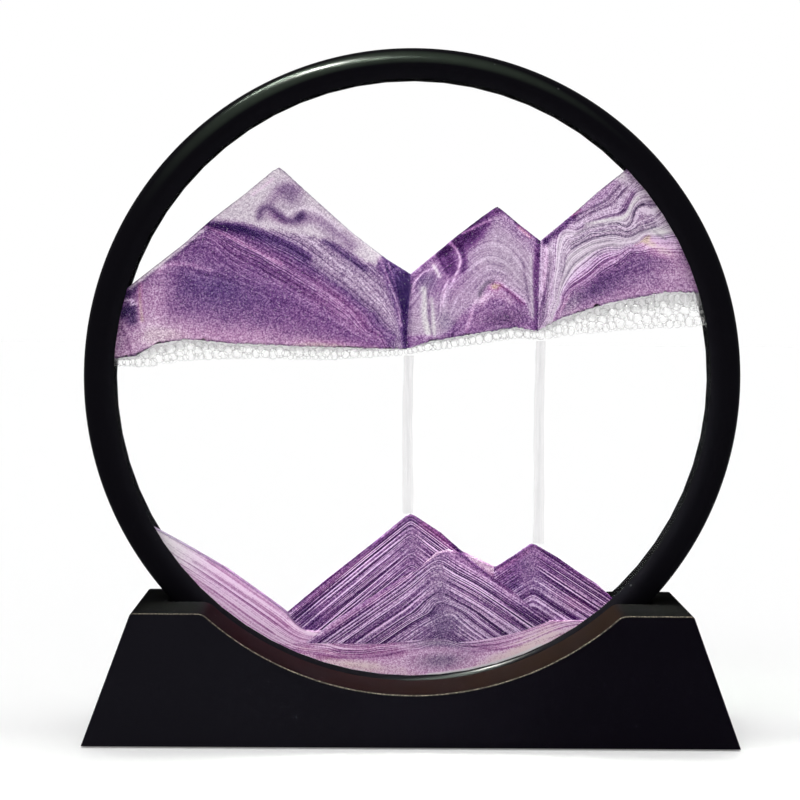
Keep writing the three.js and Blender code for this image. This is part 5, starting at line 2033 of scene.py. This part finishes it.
    def bed_between(self, start: float, end: float) -> list[Point]:
        """Follow the bed's top between two places."""
        ends = [(x, float(np.interp(x, *zip(*self.bed_top)))) for x in (start, end)]
        return [ends[0], *(point for point in self.bed_top if start < point[0] < end), ends[1]]

    def bed(self) -> SandMass:
        """Describe the bed on the cell's floor.

        Returns:
            The mass of sand.
        """
        top = self.cell.trim(self.bed_top)
        bottom = self.cell.wall(top[0], top[-1], self.bed_steps)
        return SandMass(
            "sand_bed", "pink_sand",
            top, bottom, top[[0, 0]], top[[-1, -1]],
            self.cell.front, self.cell.rear, crest_round=0.2, crest_grain=0.0,
            node="lower_sand_bed", strata=GuidedStrata(self.low_guides),
            bands=self.bed_bands, marks=self.bed_marks,
        )

    def dune(self) -> SandMass:
        """Describe the pale dune that leans on the left wall.

        Returns:
            The mass of sand.
        """
        top = self.cell.trim((*self.dune_crest, *self.dune_lee))
        base = self.cell.trim(self.bed_top)
        bottom = [tuple(base[0]), *self.bed_between(base[0][0] + self.bed_inset, self.ridge_crest[0][0])]
        under_ridge = (self.dune_lee[-1], self.ridge_crest[0], bottom[-1])
        return SandMass(
            "sand_dune", "pink_sand",
            top, bottom, self.cell.wall(top[0], base[0]), under_ridge,
            self.cell.front, self.cell.rear, crest_round=0.4, crest_grain=0.02,
            node="lower_sand_left_dune", strata=GuidedStrata(self.low_guides),
            bands=self.dune_bands, marks=self.dune_marks,
        )

    def heap(self, name: str, crest: Line, left: Line, depth: Point, **looks: Any) -> SandMass:
        """Describe a heap that stands on the bed.

        Args:
            name: Name of its node, which the piece's own name follows.
            crest: Its crest.
            left: Its left end from crest to bed.
            depth: Its front and rear.
            looks: Layers, bands and marks.

        Returns:
            The mass of sand.
        """
        bottom = self.bed_between(left[-1][0], crest[-1][0])
        return SandMass(
            name.replace("lower_sand", "sand"), "violet_sand",
            crest, bottom, (*left, bottom[0]), (crest[-1], bottom[-1]), *depth,
            crest_round=0.4, node=name, **looks,
        )

    def left_peak(self) -> SandMass:
        """Describe the tall peak under the left stream.

        Returns:
            The mass of sand.
        """
        lee = [(x - self.seam, z) for x, z in self.dune_lee]
        return self.heap(
            "lower_sand_left_peak", (lee[0], *self.left_peak_crest), lee,
            (self.cell.peak_front, self.cell.rear),
            strata=Chevron((-0.3, -36.4), 0.83, 0.74, softness=0.5),
            bands=self.left_peak_bands,
            marks=self.left_peak_marks,
        )

    def right_peak(self) -> SandMass:
        """Describe the low peak under the right stream.

        Returns:
            The mass of sand.
        """
        start = self.right_peak_crest[0]
        return self.heap(
            "lower_sand_right_peak", self.right_peak_crest, (start, (start[0], self.peak_foot)),
            (self.cell.peak_front, self.cell.rear),
            strata=Chevron((33.5, -44.5), 0.68, 0.65, softness=0.6),
            bands=self.right_peak_bands,
            marks=self.right_peak_marks,
        )

    def front_ridge(self) -> SandMass:
        """Describe the broad ridge that lies against the front glass.

        Returns:
            The mass of sand.
        """
        start = self.ridge_crest[0]
        spine = ((-0.8, 0), (-2, -8), (-1, -16), (1.6, -19), (-0.3, -24))
        return self.heap(
            "lower_sand_front_ridge", self.ridge_crest, (start, start),
            (self.cell.front, self.cell.ridge_rear),
            strata=Chevron((9, -45), 0.71, 0.68, spine, 1.0),
            bands=self.front_ridge_bands,
            marks=self.front_ridge_marks,
        )

    def build(self, material: Material) -> None:
        """Build the five masses."""
        for mass in (self.bed(), self.dune(), self.left_peak(), self.right_peak(), self.front_ridge()):
            mass.build(self.cell, material)


@dataclass
class BubbleRaft:
    """Air bubbles and grey film under the upper sand, in millimetres from the ring's centre."""

    cell: Cell
    roof: Line
    edge: Line = (
        (-90, 3.4), (-72, 3.5), (-62.6, 5.2), (-40.7, 6), (-25, 5.6), (-3, 7.1), (11, 9.3), (28.2, 12),
        (34.8, 11.6), (44.1, 13.1), (64, 14.9), (90, 15.9),
    )
    sizes: tuple[float, ...] = (1.35, 1.05, 0.8, 0.6, 0.42)
    size_range: Span = (0.85, 1.15)
    oval_range: Span = (0.86, 1.16)
    tries: int = 2600
    overlap: float = 0.62
    least_room: float = 1.7
    room_taken: float = 1.6
    overhang: float = 0.3
    crowding: float = 0.7
    wall_room: float = 0.6
    rings: int = 8
    sides: int = 18
    film_share: float = 0.62
    film_lift: float = 0.6
    film_least: float = 0.8
    film_gap: float = 0.1
    film_pitch: float = 0.6
    seed: int = 7

    def circles(self) -> np.ndarray:
        """Pack bubbles of falling size into the raft.

        Returns:
            Rows of x, z and radius.
        """
        chance = np.random.default_rng(self.seed)
        found = np.zeros((0, 3))
        for size in self.sizes:
            for x in chance.uniform(-self.cell.radius, self.cell.radius, self.tries):
                radius = size * chance.uniform(*self.size_range)
                low, high = np.interp(x, *zip(*self.edge)), np.interp(x, *zip(*self.roof))
                if high - low < self.least_room * radius:
                    continue
                room = max(high - low - self.room_taken * radius, 0)
                z = low - self.overhang + radius + chance.power(self.crowding) * room
                if self.cell.reach(np.array([x, z])) > self.cell.radius - self.wall_room * radius:
                    continue
                gaps = np.hypot(found[:, 0] - x, found[:, 1] - z)
                if (gaps > self.overlap * (found[:, 2] + radius)).all():
                    found = np.vstack([found, [x, z, radius]])
        return found

    def bubbles(self, material: Material) -> None:
        """Build all bubbles as one piece.

        Args:
            material: Their finish.
        """
        chance = np.random.default_rng(self.seed + 1)
        around = np.linspace(0, 2 * math.pi, self.sides, endpoint=False)
        room = self.cell.rear - self.cell.front
        points, faces = [], []
        for x, z, radius in self.circles():
            thick = min(radius, room / 2)
            oval = chance.uniform(*self.oval_range)
            y = self.cell.front + thick + chance.uniform(0, 1) * (room - 2 * thick)
            first = len(points)
            for ring in range(self.rings + 1):
                tilt = math.pi * ring / self.rings
                for side in around:
                    out = radius * math.sin(tilt)
                    around_x, around_z = out * oval * math.cos(side), out / oval * math.sin(side)
                    points.append((x + around_x, y - thick * math.cos(tilt), z + around_z))
            for ring in range(self.rings):
                faces += quads(first + ring * self.sides, first + (ring + 1) * self.sides, self.sides)
        moved = np.array(points) * MM + [0, 0, self.cell.height]
        dress = Dress("bubble_raft", Body.FRAME, "bubbles", material, ("bubble_layer",))
        made = make_piece(dress, moved, faces)
        facing = facings(made.data)
        store(made.data, "rim", np.hypot(facing[:, 0], facing[:, 2]))

    def film(self, material: Material) -> None:
        """Build the film between the sand and the bubbles.

        Args:
            material: Its finish.
        """
        top = self.cell.trim([(x, z + self.film_lift) for x, z in self.roof])
        x = top[:, 0]
        thick = (top[:, 1] - np.interp(x, *zip(*self.edge))) * self.film_share
        bottom = self.cell.trim(np.column_stack([x, top[:, 1] - np.clip(thick, self.film_least, None)]))
        middle = (self.cell.front + self.cell.rear) / 2
        layer = Layer(
            "bubble_film", "bubbles", top, bottom, (top[0], bottom[0]), (top[-1], bottom[-1]),
            middle, self.cell.rear - self.film_gap, crest_round=0.2, pitch=self.film_pitch, crest_grain=0.0,
        )
        made = layer.solid(self.cell, Dress("bubble_film", Body.FRAME, "bubbles", material))
        where = places(made.data) / MM
        below = np.interp(where[:, 0], x, top[:, 1]) - where[:, 2] + self.cell.height / MM
        store(made.data, "rim", np.clip(1 - below / np.interp(where[:, 0], x, thick), 0, 1))

    def build(self) -> None:
        """Build and dress the raft."""
        self.bubbles(BubbleSkin().material())
        self.film(FoamFilm().material())


@dataclass
class SandStreams:
    """Two thin streams of falling sand, in millimetres from the ring's centre."""

    cell: Cell
    width: float = 3.0
    thickness: float = 1.6
    sink: float = 1.0
    sides: int = 24
    pitch: float = 1.0
    taper: float = 0.12
    waver: float = 0.04
    waver_turn: float = 0.5
    drift: float = 0.15
    drift_turn: float = 0.13

    def stream(self, name: str, node: str, material: Material) -> None:
        """Build one stream where its node lies.

        Args:
            name: Name of the piece.
            node: The node that it stands for.
            material: Its finish.
        """
        low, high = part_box(node)
        middle = (low + high) / 2
        low.z -= self.sink * MM
        levels = np.linspace(low.z, high.z, int((high.z - low.z) / MM / self.pitch) + 2)
        around = np.linspace(0, 2 * math.pi, self.sides, endpoint=False)
        points = []
        for level in levels:
            share = (level - low.z) / (high.z - low.z)
            waver = self.waver * math.sin(level / MM * self.waver_turn)
            half = self.width / 2 * MM * (1 - self.taper * share + waver)
            x = middle.x + self.drift * MM * math.sin(level / MM * self.drift_turn)
            deep = self.thickness / 2 * MM
            points += [(x + half * math.cos(a), middle.y + deep * math.sin(a), level) for a in around]
        count = self.sides
        faces = [list(range(count))[::-1], list(range(len(points) - count, len(points)))]
        for row in range(len(levels) - 1):
            faces += quads(row * count, (row + 1) * count, count)
        made = make_piece(Dress(name, Body.FRAME, "falling_sand", material, (node,)), points, faces)
        store(made.data, "rim", np.abs(places(made.data)[:, 0] - middle.x) / (self.width / 2 * MM))

    def build(self) -> None:
        """Build both streams."""
        veil = FallingSand().material()
        self.stream("sand_stream_left", "left_sand_stream", veil)
        self.stream("sand_stream_right", "right_sand_stream", veil)


@dataclass
class StripLamp:
    """Narrow lamp that only makes glints on glossy surfaces."""

    name: str = "strip_lamp"
    place: Triple = (-0.36, -0.18, 1.31)
    target: Triple = (-0.025, 0.005, 0.178)
    size: tuple[float, float] = (0.3, 0.045)
    power: float = 1800.0
    colour: Triple = (1.0, 0.99, 0.94)

    def build(self) -> None:
        """Hang the lamp."""
        data = bpy.data.lights.new(self.name, "AREA")
        data.shape = "RECTANGLE"
        data.size, data.size_y = self.size
        data.energy = self.power
        data.color = self.colour
        lamp = bpy.data.objects.new(self.name, data)
        lamp.location = self.place
        lamp.rotation_euler = (Vector(self.target) - Vector(self.place)).to_track_quat("-Z", "Y").to_euler()
        lamp.visible_diffuse = False
        bpy.context.scene.collection.objects.link(lamp)


@dataclass
class SoftSun:
    """Large even light from the front left."""

    name: str = "soft_sun"
    towards: Triple = (-0.3, -0.48, 0.82)
    strength: float = 0.93
    angle: float = math.radians(35)

    def build(self) -> None:
        """Hang the light."""
        data = bpy.data.lights.new(self.name, "SUN")
        data.energy = self.strength
        data.angle = self.angle
        lamp = bpy.data.objects.new(self.name, data)
        lamp.rotation_euler = Vector(self.towards).to_track_quat("Z", "Y").to_euler()
        bpy.context.scene.collection.objects.link(lamp)


@dataclass
class Studio:
    """Camera, pale floor, white surroundings and soft light."""

    eye: Triple = (-0.009895, -0.559392, 0.12112)
    yaw: float = 0.01149
    pitch: float = 0.0536
    roll: float = 0.00774
    focal_pixels: float = 2059.1
    sensor_width: float = 36.0
    nearest: float = 0.01
    floor_half: float = 4.0
    daylight: float = 0.8
    clear_layers: int = 32

    def camera(self) -> None:
        """Set up the camera at the photograph's viewing angle."""
        data = bpy.data.cameras.new("camera")
        data.sensor_width = self.sensor_width
        data.lens = self.sensor_width * self.focal_pixels / IMAGE_WIDTH
        data.clip_start = self.nearest
        ahead = Vector((
            math.sin(self.yaw) * math.cos(self.pitch),
            math.cos(self.yaw) * math.cos(self.pitch),
            -math.sin(self.pitch),
        ))
        level = Vector((math.cos(self.yaw), -math.sin(self.yaw), 0))
        up = level.cross(ahead)
        right = math.cos(self.roll) * level + math.sin(self.roll) * up
        top = math.cos(self.roll) * up - math.sin(self.roll) * level
        made = bpy.data.objects.new("camera", data)
        made.matrix_world = Matrix.Translation(self.eye) @ Matrix((right, top, -ahead)).transposed().to_4x4()
        bpy.context.scene.collection.objects.link(made)
        bpy.context.scene.camera = made

    def floor(self) -> None:
        """Lay the floor."""
        mesh = bpy.data.meshes.new("floor")
        reach = self.floor_half
        corners = [(-reach, -reach, 0), (reach, -reach, 0), (reach, reach, 0), (-reach, reach, 0)]
        mesh.from_pydata(corners, [], [(0, 1, 2, 3)])
        mesh.materials.append(PaleFloor().material())
        made = bpy.data.objects.new("floor", mesh)
        bpy.context.scene.collection.objects.link(made)

    def surroundings(self) -> None:
        """Light the scene from all round and show white behind it."""
        world = bpy.data.worlds.new("surroundings")
        bpy.context.scene.world = world
        world.use_nodes = True
        tree = NodeTree(world.node_tree)
        light = tree.node("ShaderNodeBackground", None, {"Color": (1, 1, 1, 1), "Strength": self.daylight})
        white = tree.node("ShaderNodeBackground", None, {"Color": (1, 1, 1, 1), "Strength": 1.0})
        surface = tree.blend(tree.background_rays(), light, white)
        tree.node("ShaderNodeOutputWorld", None, {"Surface": surface})

    def build(self) -> None:
        """Set up the studio."""
        scene = bpy.context.scene
        scene.view_settings.view_transform = "Standard"
        scene.cycles.transparent_max_bounces = self.clear_layers
        self.camera()
        self.floor()
        self.surroundings()
        SoftSun().build()
        StripLamp().build()
        StripLamp("sheen_lamp", size=(1.3, 0.3), power=1700.0, colour=(0.84, 1.0, 0.84)).build()


def main() -> None:
    """Build the object piece by piece."""
    logging.basicConfig(level=logging.INFO, format="%(message)s")
    Studio().build()
    ring = RingPlace.from_frame()
    Stand.from_frame(ring).build()
    RingFrame(ring).build()
    cell = Cell.from_frame()
    sand = StripedSand().material()
    upper = UpperSand(cell)
    upper.build(sand)
    LowerSand(cell).build(sand)
    BubbleRaft(cell, upper.underside()).build()
    SandStreams(cell).build()


if __name__ == "__main__":
    main()
